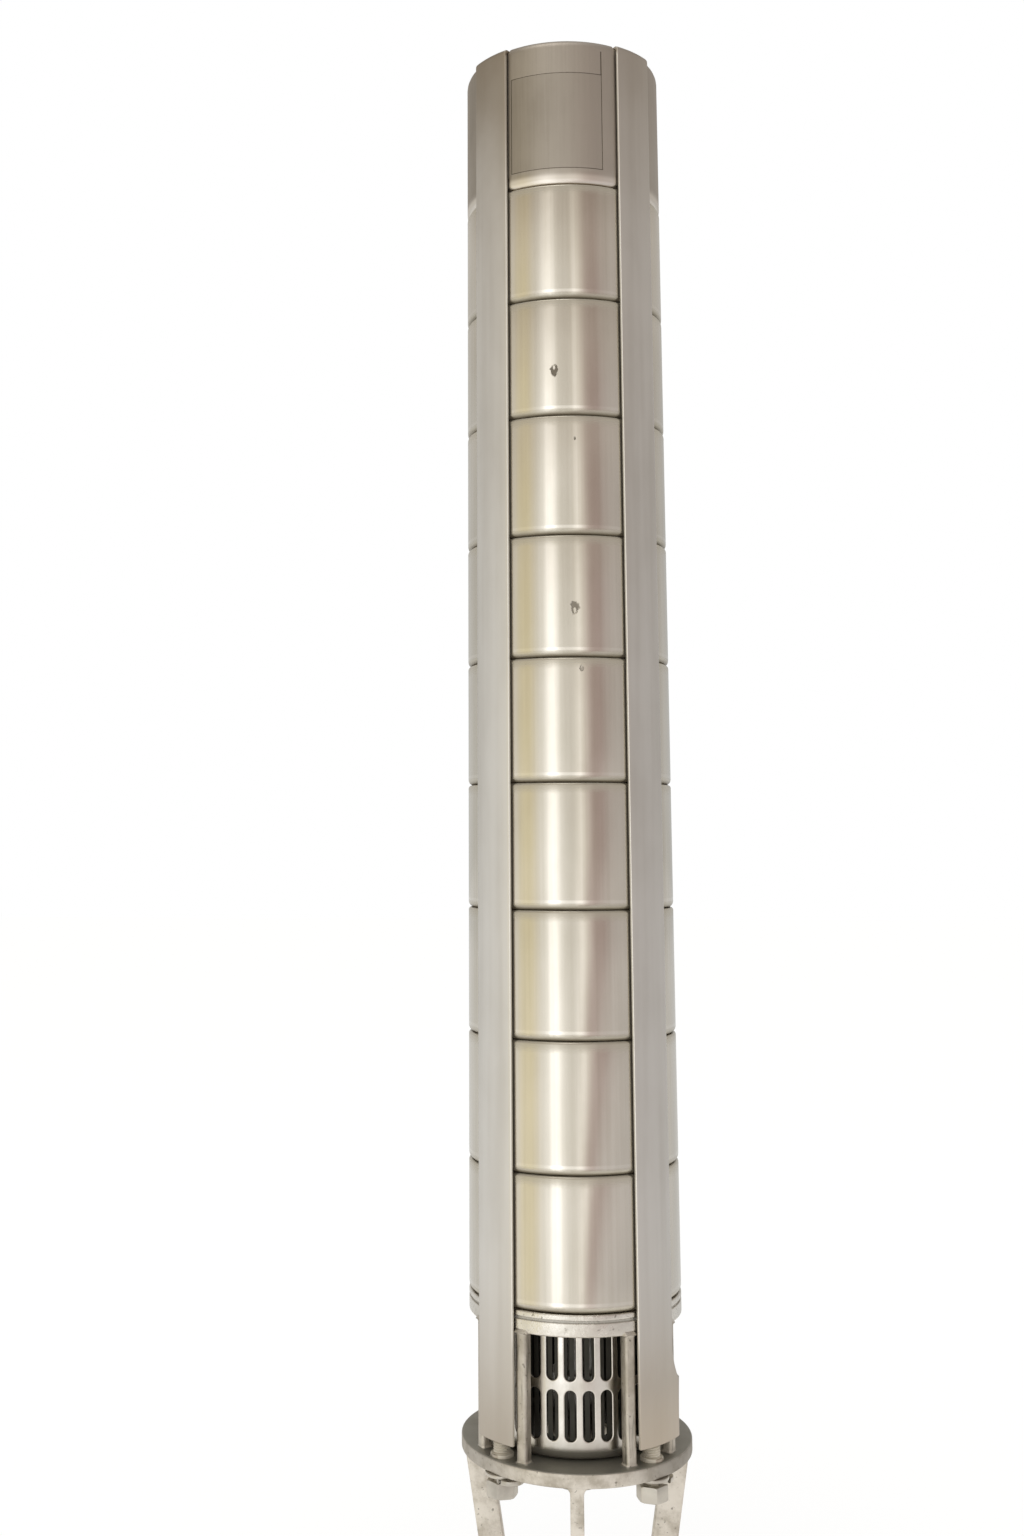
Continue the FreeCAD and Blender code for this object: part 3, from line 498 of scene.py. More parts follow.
def turned(points, steps, sweep=math.tau, corner=6):
    # spins a closed outline of (radius, height, rounding) about the shaft's axis
    bm = bmesh.new()
    ends = [bm.verts.new((point[0], 0, point[1])) for point in points]
    for i, vertex in enumerate(ends):
        bm.edges.new((vertex, ends[(i + 1) % len(ends)]))
    for vertex, point in zip(ends, points):
        if len(point) > 2:
            bmesh.ops.bevel(bm, geom=[vertex], offset=point[2], offset_type="OFFSET", segments=corner,
                            profile=0.5, affect="VERTICES", material=-1)
    closed = abs(sweep - math.tau) < 1e-6
    if not closed:
        bmesh.ops.contextual_create(bm, geom=bm.edges[:])
    bmesh.ops.spin(bm, geom=bm.verts[:] + bm.edges[:] + bm.faces[:], cent=(0, 0, 0), axis=(0, 0, 1),
                   angle=sweep, steps=steps, use_merge=closed)
    bmesh.ops.recalc_face_normals(bm, faces=bm.faces[:])
    return bm


def cut(bm, heights):
    for height in heights:
        bmesh.ops.bisect_plane(bm, geom=bm.verts[:] + bm.edges[:] + bm.faces[:], dist=1e-6,
                               plane_co=(0, 0, height), plane_no=(0, 0, 1))


def soften(bm, width, segments=2, above=0.9):
    # bevels every edge that is sharper than the limit, in radians
    sharp = [e for e in bm.edges if len(e.link_faces) == 2 and e.calc_face_angle() > above]
    bmesh.ops.bevel(bm, geom=sharp, offset=width, offset_type="OFFSET", segments=segments, profile=0.5,
                    affect="EDGES", material=-1, clamp_overlap=True)


def placed(bm, degrees=0.0, shift=(0, 0, 0)):
    bmesh.ops.translate(bm, verts=bm.verts[:], vec=shift)
    bmesh.ops.rotate(bm, verts=bm.verts[:], cent=(0, 0, 0), matrix=Matrix.Rotation(math.radians(degrees), 3, "Z"))
    return bm


def meshOf(bm, name="part"):
    mesh = bpy.data.meshes.new(name)
    bm.to_mesh(mesh)
    bm.free()
    return mesh


def gather(parts):
    # puts several bmeshes into one and frees them
    whole = bmesh.new()
    for part in parts:
        mesh = meshOf(part)
        whole.from_mesh(mesh)
        bpy.data.meshes.remove(mesh)
    return whole


def helix(outline, foot, top, pitch, perTurn):
    # sweeps an open outline of (radius, share of the pitch) up round the shaft's axis
    bm = bmesh.new()
    turns = (top - foot) / pitch - 1
    ends = [bm.verts.new((radius, 0, foot + share * pitch)) for radius, share in outline]
    for a, b in zip(ends, ends[1:]):
        bm.edges.new((a, b))
    bmesh.ops.spin(bm, geom=bm.verts[:] + bm.edges[:], cent=(0, 0, 0), axis=(0, 0, 1),
                   dvec=(0, 0, pitch / perTurn), angle=math.tau * turns, steps=round(perTurn * turns))
    bmesh.ops.remove_doubles(bm, verts=bm.verts[:], dist=1e-6)
    bmesh.ops.recalc_face_normals(bm, faces=bm.faces[:])
    return bm


def shapedBy(bm, tool, operation="DIFFERENCE"):
    # cuts one closed bmesh by another, through Blender's boolean
    things = []
    for part in (bm, tool):
        things.append(bpy.data.objects.new("part", meshOf(part)))
        bpy.context.scene.collection.objects.link(things[-1])
    cutting = things[0].modifiers.new("cut", "BOOLEAN")
    cutting.operation, cutting.solver, cutting.object = operation, "EXACT", things[1]
    result = bmesh.new()
    result.from_mesh(things[0].evaluated_get(bpy.context.evaluated_depsgraph_get()).to_mesh())
    for thing in things:
        mesh = thing.data
        bpy.data.objects.remove(thing)
        bpy.data.meshes.remove(mesh)
    bmesh.ops.remove_doubles(result, verts=result.verts[:], dist=2e-6)
    return result


def rod(radius, low, high, away, steps=32):
    bm = bmesh.new()
    bmesh.ops.create_cone(bm, cap_ends=True, segments=steps, radius1=radius, radius2=radius, depth=high - low)
    bmesh.ops.translate(bm, verts=bm.verts[:], vec=(away, 0, (low + high) / 2))
    return bm


def post(levels, edge, segments=3):
    # a bar along +X built up from (height, inner x, outer x, half width), its upright edges rounded
    bm = bmesh.new()
    rings = [[bm.verts.new((x, y, height)) for x, y in ((inner, -half), (outer, -half), (outer, half), (inner, half))]
             for height, inner, outer, half in levels]
    upright = []
    for below, above in zip(rings, rings[1:]):
        for i in range(4):
            bm.faces.new((below[i], below[(i + 1) % 4], above[(i + 1) % 4], above[i]))
            upright.append(bm.edges.get((below[i], above[i])))
    bm.faces.new(reversed(rings[0]))
    bm.faces.new(rings[-1])
    bmesh.ops.bevel(bm, geom=upright, offset=edge, offset_type="OFFSET", segments=segments, profile=0.5,
                    affect="EDGES", material=-1, clamp_overlap=True)
    bmesh.ops.recalc_face_normals(bm, faces=bm.faces[:])
    return bm


def around(make, count, first=0.0):
    return [placed(make(), first + i * 360 / count) for i in range(count)]


def finished(bm, name, node, materials=None, smoothBelow=0.6):
    # makes the object that stands for a CAD node
    for face in bm.faces:
        face.smooth = True
    for edge in bm.edges:
        edge.smooth = len(edge.link_faces) == 2 and edge.calc_face_angle() < smoothBelow
    piece = bpy.data.objects.new(name, meshOf(bm, name))
    bpy.context.scene.collection.objects.link(piece)
    for material in materials or [finishes[slotOf[node]]]:
        piece.data.materials.append(material)
    body = next(b for b, nodes in frame["record"]["behaviour"]["bodies"].items() if node in nodes)
    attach(piece, body)
    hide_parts(node)
    return piece


# Stage chambers

chamberShape = {"wall": 0.0025, "floor": 0.003, "lowerRound": 0.005, "upperRound": 0.0025, "rim": 0.0085,
                "innerRound": 0.0025, "bore": 0.046, "spigotWall": 0.003, "gap": 0.0001, "steps": 192}


def stageChamber(index):
    s = chamberShape
    rim = chamberRadius - s["rim"]
    spigot = rim - s["gap"]
    inside = chamberRadius - s["wall"]
    bm = turned([
        (s["bore"], 0), (spigot - s["spigotWall"], 0), (spigot - s["spigotWall"], -spigotDepth),
        (spigot, -spigotDepth), (spigot, 0), (chamberRadius, 0, s["lowerRound"]),
        (chamberRadius, stagePitch, s["upperRound"]), (rim, stagePitch), (rim, stagePitch - s["floor"]),
        (inside, stagePitch - s["floor"]), (inside, s["floor"], s["innerRound"]), (s["bore"], s["floor"])],
        s["steps"])
    placed(bm, 0, (0, 0, stageFloors[index]))
    return finished(bm, "chamber%d" % (index + 1), "stage_chamber_%d" % (index + 1))


for index in range(stageCount):
    stageChamber(index)
print("chambers made")

# Straps

studShape = {"radius": 0.007, "root": 0.0062, "circle": 0.0827, "foot": 0.1219, "threadTop": 0.1685,
             "top": 0.223, "pitch": 0.002, "crest": 0.08, "perTurn": 24, "collar": 0.0092, "collarHigh": 0.0026,
             "collarSink": 0.001}
weldShape = {"radius": 0.0875, "aside": 0.0052, "low": 0.172, "high": 0.219, "size": 0.0021, "drops": 22}
strapPlaces = {"rear_right": 45, "rear_left": 135, "front_left": 225, "front_right": 315}


def flareAt(height):
    # how far the widened foot reaches past the strap's edge
    s = strapShape
    if height >= s["flareTop"]:
        return 0.0
    run, centre = s["flareTop"] - s["flareFull"], s["flareTop"] + s["flareLead"]
    reach = (s["flare"] ** 2 + run ** 2 + 2 * s["flareLead"] * run) / (2 * s["flare"])
    radius = math.hypot(reach, s["flareLead"])
    return min(s["flare"], reach - math.sqrt(max(0.0, radius ** 2 - (centre - height) ** 2)))


def strapSheet(flareSide):
    s = strapShape
    half = s["width"] / 2 / strapOutside
    bm = turned([
        (s["inside"], s["foot"]), (strapOutside, s["foot"]), (strapOutside, s["top"], s["bend"] + s["thick"]),
        (s["tip"], s["top"]), (s["tip"], s["top"] - s["thick"]),
        (s["inside"], s["top"] - s["thick"], s["bend"])], s["steps"], 2 * half)
    placed(bm, -math.degrees(half))
    if flareSide:
        full, top, cuts = s["flareFull"], s["flareTop"], s["flareCuts"]
        cut(bm, [full + (top - full) * i / cuts for i in range(cuts)] + [top, top + s["flareGuard"]])
        for vertex in bm.verts:
            angle = math.atan2(vertex.co.y, vertex.co.x)
            if angle * flareSide > 0:
                more = angle * (flareAt(vertex.co.z) / strapOutside / half)
                vertex.co.rotate(Matrix.Rotation(more, 3, "Z"))
    soften(bm, s["edge"], 3)
    return bm


def strapStud():
    s = studShape
    thread = helix([(s["root"], -0.5), (s["radius"], -s["crest"]), (s["radius"], s["crest"]), (s["root"], 0.5)],
                   s["foot"] + s["pitch"] / 2, s["threadTop"] + s["pitch"] / 2, s["pitch"], s["perTurn"])
    core = turned([(0.0, s["foot"]), (s["root"], s["foot"], 0.0006), (s["root"], s["threadTop"] - s["pitch"] / 2),
                   (s["radius"], s["threadTop"]), (s["radius"], s["top"], 0.001), (0.0, s["top"])], 32)
    bmesh.ops.remove_doubles(core, verts=core.verts[:], dist=1e-6)
    inner, high = s["radius"] - s["collarSink"], flangeTop + s["collarHigh"]
    collar = turned([(inner, flangeTop), (s["collar"], flangeTop), (s["collar"], high, 0.0008), (inner, high)], 36)
    return placed(gather([thread, core, collar]), 0, (s["circle"], 0, 0))


def weldBead(side, seed):
    # overlapping flattened drops beside the stud, as a bead laid by hand
    s = weldShape
    bead = bmesh.new()
    start, end = (Vector((s["radius"], side * s["aside"], height)) for height in (s["low"], s["high"]))
    for i in range(s["drops"]):
        share = i / (s["drops"] - 1)
        centre = start.lerp(end, share)
        wobble = 0.25 * noise.noise(Vector((seed, 9 * share, 0)))
        grow = Matrix.Diagonal((s["size"] * (1 + wobble), s["size"] * (1 - wobble), s["size"] * 0.9, 1))
        bmesh.ops.create_icosphere(bead, subdivisions=2, radius=1.0, matrix=Matrix.Translation(centre) @ grow)
    return bead


def strap(place, degrees):
    flareSide = {"front_right": 1, "rear_right": -1}.get(place, 0)
    steel = gather([strapSheet(flareSide), strapStud()])
    bead = gather([weldBead(side, degrees + side) for side in (-1, 1)])
    for index, part in enumerate((steel, bead)):
        for face in part.faces:
            face.material_index = index
    bm = placed(gather([steel, bead]), degrees)
    return finished(bm, "strap_" + place.replace("_", "-"), "strap_" + place, [finishes["strap_sheet"], weld])


for place, degrees in strapPlaces.items():
    strap(place, degrees)
print("straps made")

# Suction casing

castShape = {"edge": 0.0015, "legEdge": 0.0014, "flangeRadius": 0.094, "flangeBore": 0.027, "motorRadius": 0.072,
             "motorThick": 0.015, "pilot": 0.0381, "boltCircle": 0.0555625, "bolt": 0.00675, "studHole": 0.00775,
             "legTop": 0.0915, "legDepth": 0.021, "legHalf": 0.0053, "flare": 0.006, "columnOut": 0.0882,
             "columnDepth": 0.010, "columnHalf": 0.0045, "columnEdge": 0.0036, "foot": 0.0022, "offset": 15.7,
             "bore": 0.066, "seat": 0.0696, "seatHigh": 0.006, "rim": 0.079, "rimDeep": 0.0031, "rimHigh": 0.0045,
             "groove": 0.002, "deep": 0.0015, "boreEdge": 0.0008, "sink": 0.0005, "head": 0.0032, "through": 0.005,
             "steps": 192}


def flareCurve(radius, share):
    # how far a fillet still stands out at this share of its height
    return radius - math.sqrt(max(0.0, radius ** 2 - (radius * (1 - share)) ** 2))


def flaredEnds(low, high, size, steps):
    # heights along a post, and how far its end fillets stand out there
    shares = [i / steps for i in range(steps + 1)]
    return ([(low - castShape["sink"], size)] + [(low + size * share, flareCurve(size, share)) for share in shares]
            + [(high - size * share, flareCurve(size, share)) for share in reversed(shares)])


def lanternLeg():
    s = castShape
    foot, head = s["motorThick"], flangeLow
    levels = []
    for height, wider in flaredEnds(foot, head, s["flare"], 5) + [(head + s["sink"], s["flare"])]:
        outer = s["motorRadius"] + (s["legTop"] - s["motorRadius"]) * (height - foot) / (head - foot)
        levels.append((height, outer - s["legDepth"], outer, s["legHalf"] + wider))
    return post(levels, s["legEdge"])


def inletColumn():
    s = castShape
    levels = [(height, s["columnOut"] - s["columnDepth"] - wider, s["columnOut"] + 0.4 * wider,
               s["columnHalf"] + wider) for height, wider in flaredEnds(flangeTop, ringLow, s["foot"], 4)]
    last = levels[-1]
    levels.append((ringLow + s["head"], last[1], chamberRadius - 0.0002, last[3]))
    return post(levels, s["columnEdge"], 4)


def drilledPlate(bore, outside, low, high, lowEdge, hole, circle):
    # a round plate with four holes between the windows
    s = castShape
    plate = turned([(bore, low, s["boreEdge"]), (outside, low, lowEdge), (outside, high, s["edge"]),
                    (bore, high, s["boreEdge"])], s["steps"])
    drills = around(lambda: rod(hole, low - s["through"], high + s["through"], circle), 4, 45)
    plate = shapedBy(plate, gather(drills))
    soften(plate, 0.0005, 2, 1.2)
    return plate


def suctionBody():
    s = castShape
    flange = drilledPlate(s["flangeBore"], s["flangeRadius"], flangeLow, flangeTop, s["edge"],
                          s["studHole"], studShape["circle"])
    motor = drilledPlate(s["pilot"], s["motorRadius"], 0, s["motorThick"], 0.001, s["bolt"], s["boltCircle"])
    top = stageFloors[0]
    low = top - s["rimHigh"]
    ring = turned([
        (s["seat"], ringLow), (chamberRadius, ringLow, s["edge"]), (chamberRadius, low - s["groove"], 0.0006),
        (chamberRadius - s["deep"], low - s["groove"]), (chamberRadius - s["deep"], low),
        (chamberRadius, low, 0.0009), (chamberRadius, top, 0.0013), (s["rim"], top), (s["rim"], top - s["rimDeep"]),
        (s["bore"], top - s["rimDeep"], s["boreEdge"]), (s["bore"], ringLow + s["seatHigh"]),
        (s["seat"], ringLow + s["seatHigh"])], s["steps"])
    parts = [flange, motor, ring] + around(lanternLeg, 4)
    for side in (-s["offset"], s["offset"]):
        parts += around(inletColumn, 4, 45 + side)
    return gather(parts)


finished(suctionBody(), "suctionCasing", "suction_casing")
print("suction casing made")

# Inlet strainer

strainerShape = {"outer": 0.0695, "wall": 0.002, "corner": 0.007, "count": 30, "slotWidth": 0.0092,
                 "slotHeight": 0.0375, "lowerSlot": 0.1653, "gap": 0.007, "phase": -93.7, "top": 0.253,
                 "edge": 0.0008, "border": 0.0005, "bore": 0.027}
# Round a slot's end: degrees, and where that point's partner lies across the cell's border
slotEnd = [(a, max(-1.0, min(1.0, (90 - a) / 60)), min(1.0, a / 30, (180 - a) / 30)) for a in range(0, 181, 15)]


def slotOutline(grow):
    s = strainerShape
    half, straight = s["slotWidth"] / 2 + grow, (s["slotHeight"] - s["slotWidth"]) / 2
    upper = [(half * math.cos(math.radians(a)), straight + half * math.sin(math.radians(a))) for a, u, v in slotEnd]
    return upper + [(-half, 0)] + [(-x, -z) for x, z in upper] + [(half, 0)]


def cellBorder(across, below, above):
    s = strainerShape
    straight = (s["slotHeight"] - s["slotWidth"]) / 2
    upper, lower = ([(across * u, straight + (high - straight) * v) for a, u, v in slotEnd]
                    for high in (above, below))
    return upper + [(-across, 0)] + [(-x, -z) for x, z in lower] + [(across, 0)]


def strainerCell():
    s = strainerShape
    bm = bmesh.new()
    inner = s["outer"] - s["wall"]
    across = math.pi * s["outer"] / s["count"]
    high = (s["slotHeight"] + s["gap"]) / 2

    def wrapped(x, z, radius):
        turn = x / s["outer"]
        return bm.verts.new((radius * math.cos(turn), radius * math.sin(turn), z))

    depths = [(s["edge"] + s["border"], 0)]
    depths += [(s["edge"] * (1 - math.sin(turn)), s["edge"] * (1 - math.cos(turn)))
               for turn in (0, math.pi / 6, math.pi / 3, math.pi / 2)]
    middles = [s["lowerSlot"] + s["slotHeight"] / 2, s["lowerSlot"] + s["slotHeight"] * 1.5 + s["gap"]]
    for middle, above in zip(middles, (high, s["top"] - middles[1])):
        border = cellBorder(across, high, above)
        outlines = [(border, s["outer"])]
        outlines += [(slotOutline(grow), s["outer"] - deep) for grow, deep in depths]
        outlines += [(slotOutline(grow), inner + deep) for grow, deep in reversed(depths)]
        outlines += [(border, inner)]
        rings = [[wrapped(x, middle + z, radius) for x, z in outline] for outline, radius in outlines]
        for one, other in zip(rings, rings[1:]):
            for i in range(len(one)):
                j = (i + 1) % len(one)
                bm.faces.new((one[i], one[j], other[j], other[i]))
    # the plain foot with its drawn corner, down to the bore
    spread = sorted({u for a, u, v in slotEnd})
    start = s["lowerSlot"] + s["slotHeight"] / 2 - high
    bends = [math.radians(15 * i) for i in range(7)]
    centre, height = s["outer"] - s["corner"], flangeTop + s["corner"]

    def footLine(wall):
        bend = s["corner"] - wall
        rounded = [(centre + bend * math.cos(a), height - bend * math.sin(a)) for a in bends]
        return [(s["outer"] - wall, start)] + rounded + [(s["bore"], flangeTop + wall)]

    line = footLine(0) + list(reversed(footLine(s["wall"])))
    columns = []
    for share in spread:
        turn = share * across / s["outer"]
        columns.append([bm.verts.new((r * math.cos(turn), r * math.sin(turn), z)) for r, z in line])
    for one, other in zip(columns, columns[1:]):
        for i in range(len(line) - 1):
            bm.faces.new((one[i], other[i], other[i + 1], one[i + 1]))
    return bm


def strainer():
    s = strainerShape
    bm = gather(around(strainerCell, s["count"], s["phase"]))
    bmesh.ops.remove_doubles(bm, verts=bm.verts[:], dist=4e-6)
    bmesh.ops.dissolve_degenerate(bm, dist=1e-6, edges=bm.edges[:])
    bmesh.ops.recalc_face_normals(bm, faces=bm.faces[:])
    return finished(bm, "inletStrainer", "inlet_strainer", None, 0.75)


strainer()
print("strainer made")

# Discharge casing

casingShape = {"low": stackTop, "high": 1.326, "shoulder": 0.009, "footRound": 0.005, "thread": 0.06774,
               "root": 0.0693, "pitch": 0.002309, "perTurn": 96, "steps": 192, "spigot": 0.0789, "spigotIn": 0.070,
               "spigotDeep": 0.003, "mouth": 0.0016, "threadFoot": 0.0921, "relief": 0.06924, "reliefTop": 0.092,
               "reliefFoot": 0.09, "ledge": 0.084, "pocketIn": 0.0751, "pocketOut": 0.092, "pocketDeep": 0.006,
               "pocketOver": 0.003, "pocketTurn": 0.0065, "crest": 0.08, "flank": 0.48}
# The way past the valve, from the seat's ledge down: radius, height above the casing's foot, rounding
casingWay = [(0.064, 0.084), (0.064, 0.078), (0.0749, 0.062, 0.02), (0.0749, 0.034, 0.02), (0.066, 0.018),
             (0.066, 0.014), (0.070, 0.014)]


def dischargeBody():
    s = casingShape
    low, high = s["low"], s["high"]
    foot = low - s["spigotDeep"]
    body = turned([
        (s["spigotIn"], foot), (s["spigot"], foot), (s["spigot"], low), (chamberRadius, low, s["footRound"]),
        (chamberRadius, high, s["shoulder"]), (s["thread"] + 0.002, high), (s["root"], high - s["mouth"]),
        (s["root"], low + s["threadFoot"]), (s["relief"], low + s["reliefTop"]), (s["relief"], low + s["reliefFoot"]),
        (s["thread"], low + s["reliefFoot"]), (s["thread"], low + s["ledge"])]
        + [(radius, low + height, *rounding) for radius, height, *rounding in casingWay], s["steps"])
    half = strapShape["width"] / 2 / strapOutside + s["pocketTurn"]
    pocketLow, pocketHigh = high - s["pocketDeep"], high + s["pocketOver"]
    pockets = []
    for degrees in strapPlaces.values():
        pocket = turned([(s["pocketIn"], pocketLow), (s["pocketOut"], pocketLow), (s["pocketOut"], pocketHigh),
                         (s["pocketIn"], pocketHigh)], 12, 2 * half)
        pockets.append(placed(pocket, degrees - math.degrees(half)))
    body = shapedBy(body, gather(pockets))
    soften(body, 0.0004, 2, 1.2)
    root = s["root"] + 0.0001
    thread = helix([(root, -s["flank"]), (s["thread"], -s["crest"]), (s["thread"], s["crest"]), (root, s["flank"])],
                   low + 0.0935, high - 0.0008, s["pitch"], s["perTurn"])
    bmesh.ops.reverse_faces(thread, faces=thread.faces[:])
    return gather([body, thread])


finished(dischargeBody(), "dischargeCasing", "discharge_casing")
print("discharge casing made")

# Nuts and washers under the flange

nutShape = {"flats": 0.022, "high": 0.012, "chamfer": 0.0013, "bore": 0.00705, "mouth": 0.0009, "over": 0.0002,
            "foot": 0.1219, "washer": 0.0135, "washerThick": 0.0025, "lock": 0.01125, "lockThick": 0.0036,
            "lockEdge": 0.0005, "split": 0.002, "twist": 0.09}


def strapNut():
    s = nutShape
    low, high = s["foot"], s["foot"] + s["high"]
    corner = s["flats"] / math.sqrt(3)
    prism = rod(corner, low, high, 0.0, 6)
    mouth, flat, over, slope = s["bore"] + s["mouth"], corner - s["chamfer"], corner + s["over"], s["chamfer"] * 0.6
    lathe = turned([(mouth, low), (flat, low), (over, low + slope), (over, high - slope), (flat, high), (mouth, high),
                    (s["bore"], high - s["mouth"]), (s["bore"], low + s["mouth"])], 72)
    nut = shapedBy(prism, lathe, "INTERSECT")
    soften(nut, 0.0003, 2, 0.8)
    return placed(nut, 0, (studShape["circle"], 0, 0))


def washer():
    s = nutShape
    low = flangeLow - s["washerThick"]
    ring = turned([(s["bore"], low), (s["washer"], low, 0.0006), (s["washer"], flangeLow, 0.0004),
                   (s["bore"], flangeLow)], 64, corner=3)
    return placed(ring, 0, (studShape["circle"], 0, 0))


def lockWasher():
    s = nutShape
    low = s["foot"] + s["high"]
    high = low + s["lockThick"]
    sweep = math.tau - s["split"] / s["bore"]
    corners = ((s["bore"], low), (s["lock"], low), (s["lock"], high), (s["bore"], high))
    ring = turned([(*corner, s["lockEdge"]) for corner in corners], 48, sweep, 3)
    # the split's faces slope
    for vertex in ring.verts:
        height = (vertex.co.z - low) / s["lockThick"] - 0.5
        vertex.co.rotate(Matrix.Rotation(s["twist"] * height, 3, "Z"))
    return placed(ring, 6, (studShape["circle"], 0, 0))


finished(gather(around(strapNut, 4, 45)), "strapNuts", "strap_nuts", None, 0.45)
finished(gather(around(washer, 4, 45)), "strapWashers", "strap_washers")
finished(gather(around(lockWasher, 4, 45)), "strapLockWashers", "strap_lock_washers")
print("fasteners made")

# Camera, light and floor

cameraSetup = {"place": (0.0, -1.4316, 0.6297), "pitch": 8.88, "yaw": 4.12, "pixels": 1630, "centre": (451, 585),
               "long": 1536, "short": 1024, "sensor": 36.0, "far": 50}


def makeCamera():
    s = cameraSetup
    lens = bpy.data.cameras.new("camera")
    lens.sensor_width = s["sensor"]
    lens.lens = s["pixels"] * s["sensor"] / s["long"]
    lens.shift_x = (s["short"] / 2 - s["centre"][0]) / s["long"]
    lens.shift_y = -(s["long"] / 2 - s["centre"][1]) / s["long"]
    lens.clip_end = s["far"]
    camera = bpy.data.objects.new("camera", lens)
    camera.location = s["place"]
    camera.rotation_euler = (math.radians(90 + s["pitch"]), 0, math.radians(s["yaw"]))
    bpy.context.scene.collection.objects.link(camera)
    bpy.context.scene.camera = camera


# The studio seen in the steel: turn from the camera's side in degrees, and the colour there
studioWalls = [
    (-180, (0.62, 0.62, 0.61)), (-150, (0.71, 0.71, 0.70)), (-128, (0.72, 0.72, 0.71)), (-95, (0.84, 0.83, 0.81)),
    (-72, (0.88, 0.86, 0.83)), (-62, (0.97, 0.95, 0.91)), (-56, (0.97, 0.90, 0.68)), (-44, (0.97, 0.89, 0.63)),
    (-40, (0.98, 0.92, 0.76)), (-33, (1.05, 1.04, 1.0)), (-26, (1.22, 1.22, 1.20)), (-21.8, (1.95, 1.97, 2.0)),
    (-14, (1.95, 1.97, 2.0)), (-10, (1.16, 1.15, 1.12)), (-4, (0.97, 0.95, 0.91)), (6, (0.96, 0.94, 0.90)),
    (11, (1.38, 1.36, 1.33)), (14.4, (1.38, 1.36, 1.32)), (20, (0.90, 0.83, 0.79)), (26, (0.56, 0.46, 0.44)),
    (37, (0.53, 0.43, 0.415)), (43, (0.64, 0.58, 0.57)), (55, (0.69, 0.655, 0.65)), (78, (0.60, 0.573, 0.567)),
    (118, (0.60, 0.577, 0.57)), (138, (0.66, 0.655, 0.65)), (160, (0.60, 0.60, 0.60)), (180, (0.62, 0.62, 0.61))]
wallBrightest = 2.0
# High up the walls lose contrast
highWalls = {"mean": (0.78, 0.74, 0.70), "share": 0.35, "band": (0.16, 0.40)}
# The room from the floor, at 0, through the horizon, at 0.5, to straight above, at 1
ceilingShade = [(0.0, (1.0, 1.0, 1.0)), (0.5, (0.98, 0.98, 0.97)), (0.59, (0.93, 0.92, 0.905)),
                (0.67, (0.89, 0.87, 0.84)), (0.74, (0.70, 0.665, 0.62)), (0.86, (0.55, 0.52, 0.49)),
                (1.0, (0.75, 0.75, 0.75))]
diffuseSky = (0.95, 0.94, 0.92)


def scaled(colour):
    return tuple(c / wallBrightest for c in colour)


def studioColour(sheet, across, along, lean=0.0):
    # what the steel mirrors in this direction, before its height is counted
    turn = sheet.maths("ARCTAN2", across, 0 - along)
    turn = turn + lean * sheet.node("ShaderNodeClamp", None, {"Value": turn, "Min": 0.0, "Max": 0.5})
    stops = [((degrees + 180) / 360, scaled(colour)) for degrees, colour in studioWalls]
    return sheet.ramp(turn / math.tau + 0.5, stops)


def makeWorld():
    world = bpy.data.worlds.new("studio")
    world.use_nodes = True
    bpy.context.scene.world = world
    sky = Sheet(world.node_tree)
    sky.tree.nodes.clear()
    across, along, up = sky.parts(sky.node("ShaderNodeTexCoord"))
    walls = studioColour(sky, across, along)
    walls = sky.mix(sky.step(up, *highWalls["band"]) * highWalls["share"], walls, scaled(highWalls["mean"]))
    ceiling = sky.ramp(up * 0.5 + 0.5, ceilingShade)
    room = sky.node("ShaderNodeVectorMath", {"operation": "MULTIPLY"}, {0: walls, 1: ceiling})
    room = sky.node("ShaderNodeVectorMath", {"operation": "SCALE"}, {0: room, "Scale": wallBrightest})
    path = sky.tree.nodes.new("ShaderNodeLightPath")
    colour = sky.mix(Value(sky, path.outputs["Is Camera Ray"]), room, (1, 1, 1))
    colour = sky.mix(Value(sky, path.outputs["Is Diffuse Ray"]), colour, diffuseSky)
    shade = sky.node("ShaderNodeBackground", None, {"Color": colour, "Strength": 1.0})
    sky.node("ShaderNodeOutputWorld", None, {"Surface": shade}, None)


floorSetup = {"size": 12, "matt": (0.85, 0.85, 0.84), "bright": 1.08, "seen": 0.72, "near": (1.02, 0.99, 0.95),
              "nearBand": (0.35, 0.9), "lean": 0.9, "mirror": 1.1, "mirrored": 0.85}


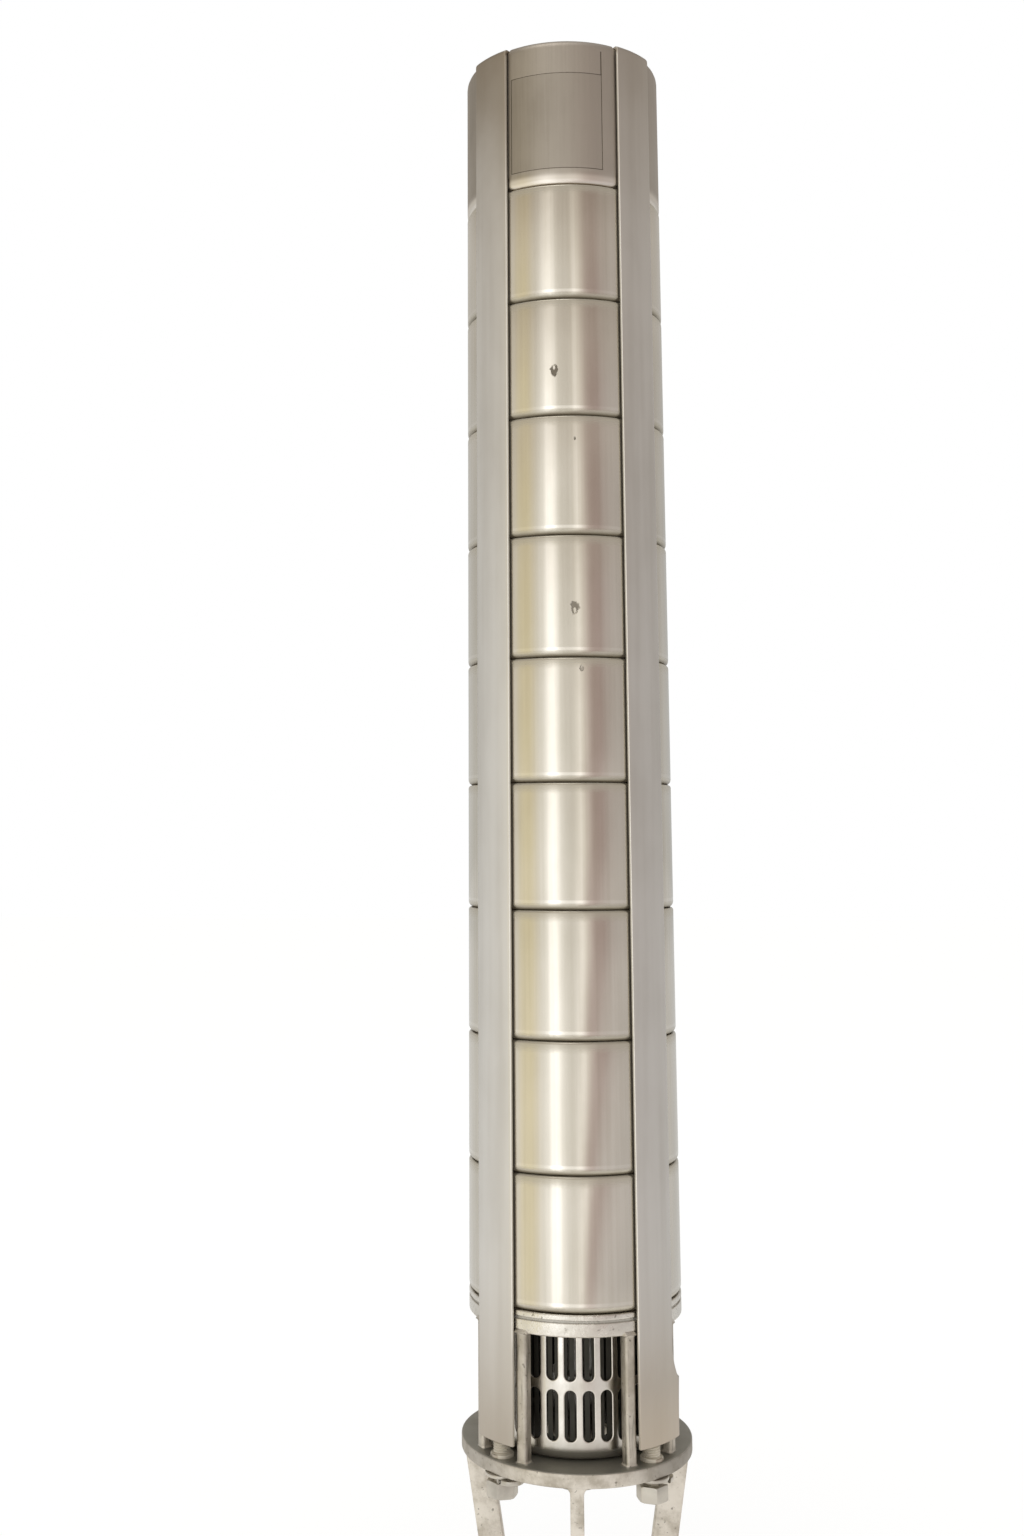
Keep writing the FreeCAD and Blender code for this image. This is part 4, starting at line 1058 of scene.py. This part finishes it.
def makeFloor():
    # pale to the camera; the steel mirrors the walls' colours in it
    s = floorSetup
    bm = bmesh.new()
    bmesh.ops.create_grid(bm, x_segments=1, y_segments=1, size=s["size"])
    floor = bpy.data.objects.new("floor", meshOf(bm, "floor"))
    bpy.context.scene.collection.objects.link(floor)
    material = bpy.data.materials.new("paleFloor")
    material.use_nodes = True
    sheet = Sheet(material.node_tree)
    sheet.tree.nodes.clear()
    matt = sheet.node("ShaderNodeBsdfDiffuse", None, {"Color": s["matt"]})
    white = sheet.node("ShaderNodeEmission", None, {"Color": (1, 1, 1), "Strength": s["bright"]})
    across, along, up = sheet.parts(sheet.node("ShaderNodeTexCoord", output=3))
    away = sheet.maths("SQRT", across * across + along * along)
    far = studioColour(sheet, across, along, s["lean"] / away)
    mirroredFloor = sheet.mix(sheet.step(away, *s["nearBand"]), scaled(s["near"]), far)
    walls = sheet.node("ShaderNodeEmission", None, {"Color": mirroredFloor, "Strength": s["mirror"] * wallBrightest})
    path = sheet.tree.nodes.new("ShaderNodeLightPath")
    camera, glossy = (Value(sheet, path.outputs[name]) for name in ("Is Camera Ray", "Is Glossy Ray"))
    seen = sheet.node("ShaderNodeMixShader", None, {0: camera * s["seen"], 1: matt, 2: white})
    mirrored = sheet.node("ShaderNodeMixShader", None, {0: glossy * s["mirrored"], 1: seen, 2: walls})
    sheet.node("ShaderNodeOutputMaterial", None, {"Surface": mirrored}, None)
    floor.data.materials.append(material)


lampSetup = {"place": (-0.5, -1.0, 4.4), "aim": (0, 0, 0.6), "size": (1.6, 1.6), "watts": 14,
             "colour": (1.0, 0.99, 0.97)}


def makeLamp():
    s = lampSetup
    data = bpy.data.lights.new("overhead", "AREA")
    data.shape = "RECTANGLE"
    data.size, data.size_y = s["size"]
    data.energy = s["watts"]
    data.color = s["colour"]
    lamp = bpy.data.objects.new("overhead", data)
    lamp.location = s["place"]
    lamp.rotation_euler = (Vector(s["aim"]) - Vector(s["place"])).to_track_quat("-Z", "Y").to_euler()
    bpy.context.scene.collection.objects.link(lamp)


makeCamera()
makeWorld()
makeFloor()
makeLamp()
bpy.context.scene.view_settings.view_transform = "Standard"
print("studio made")
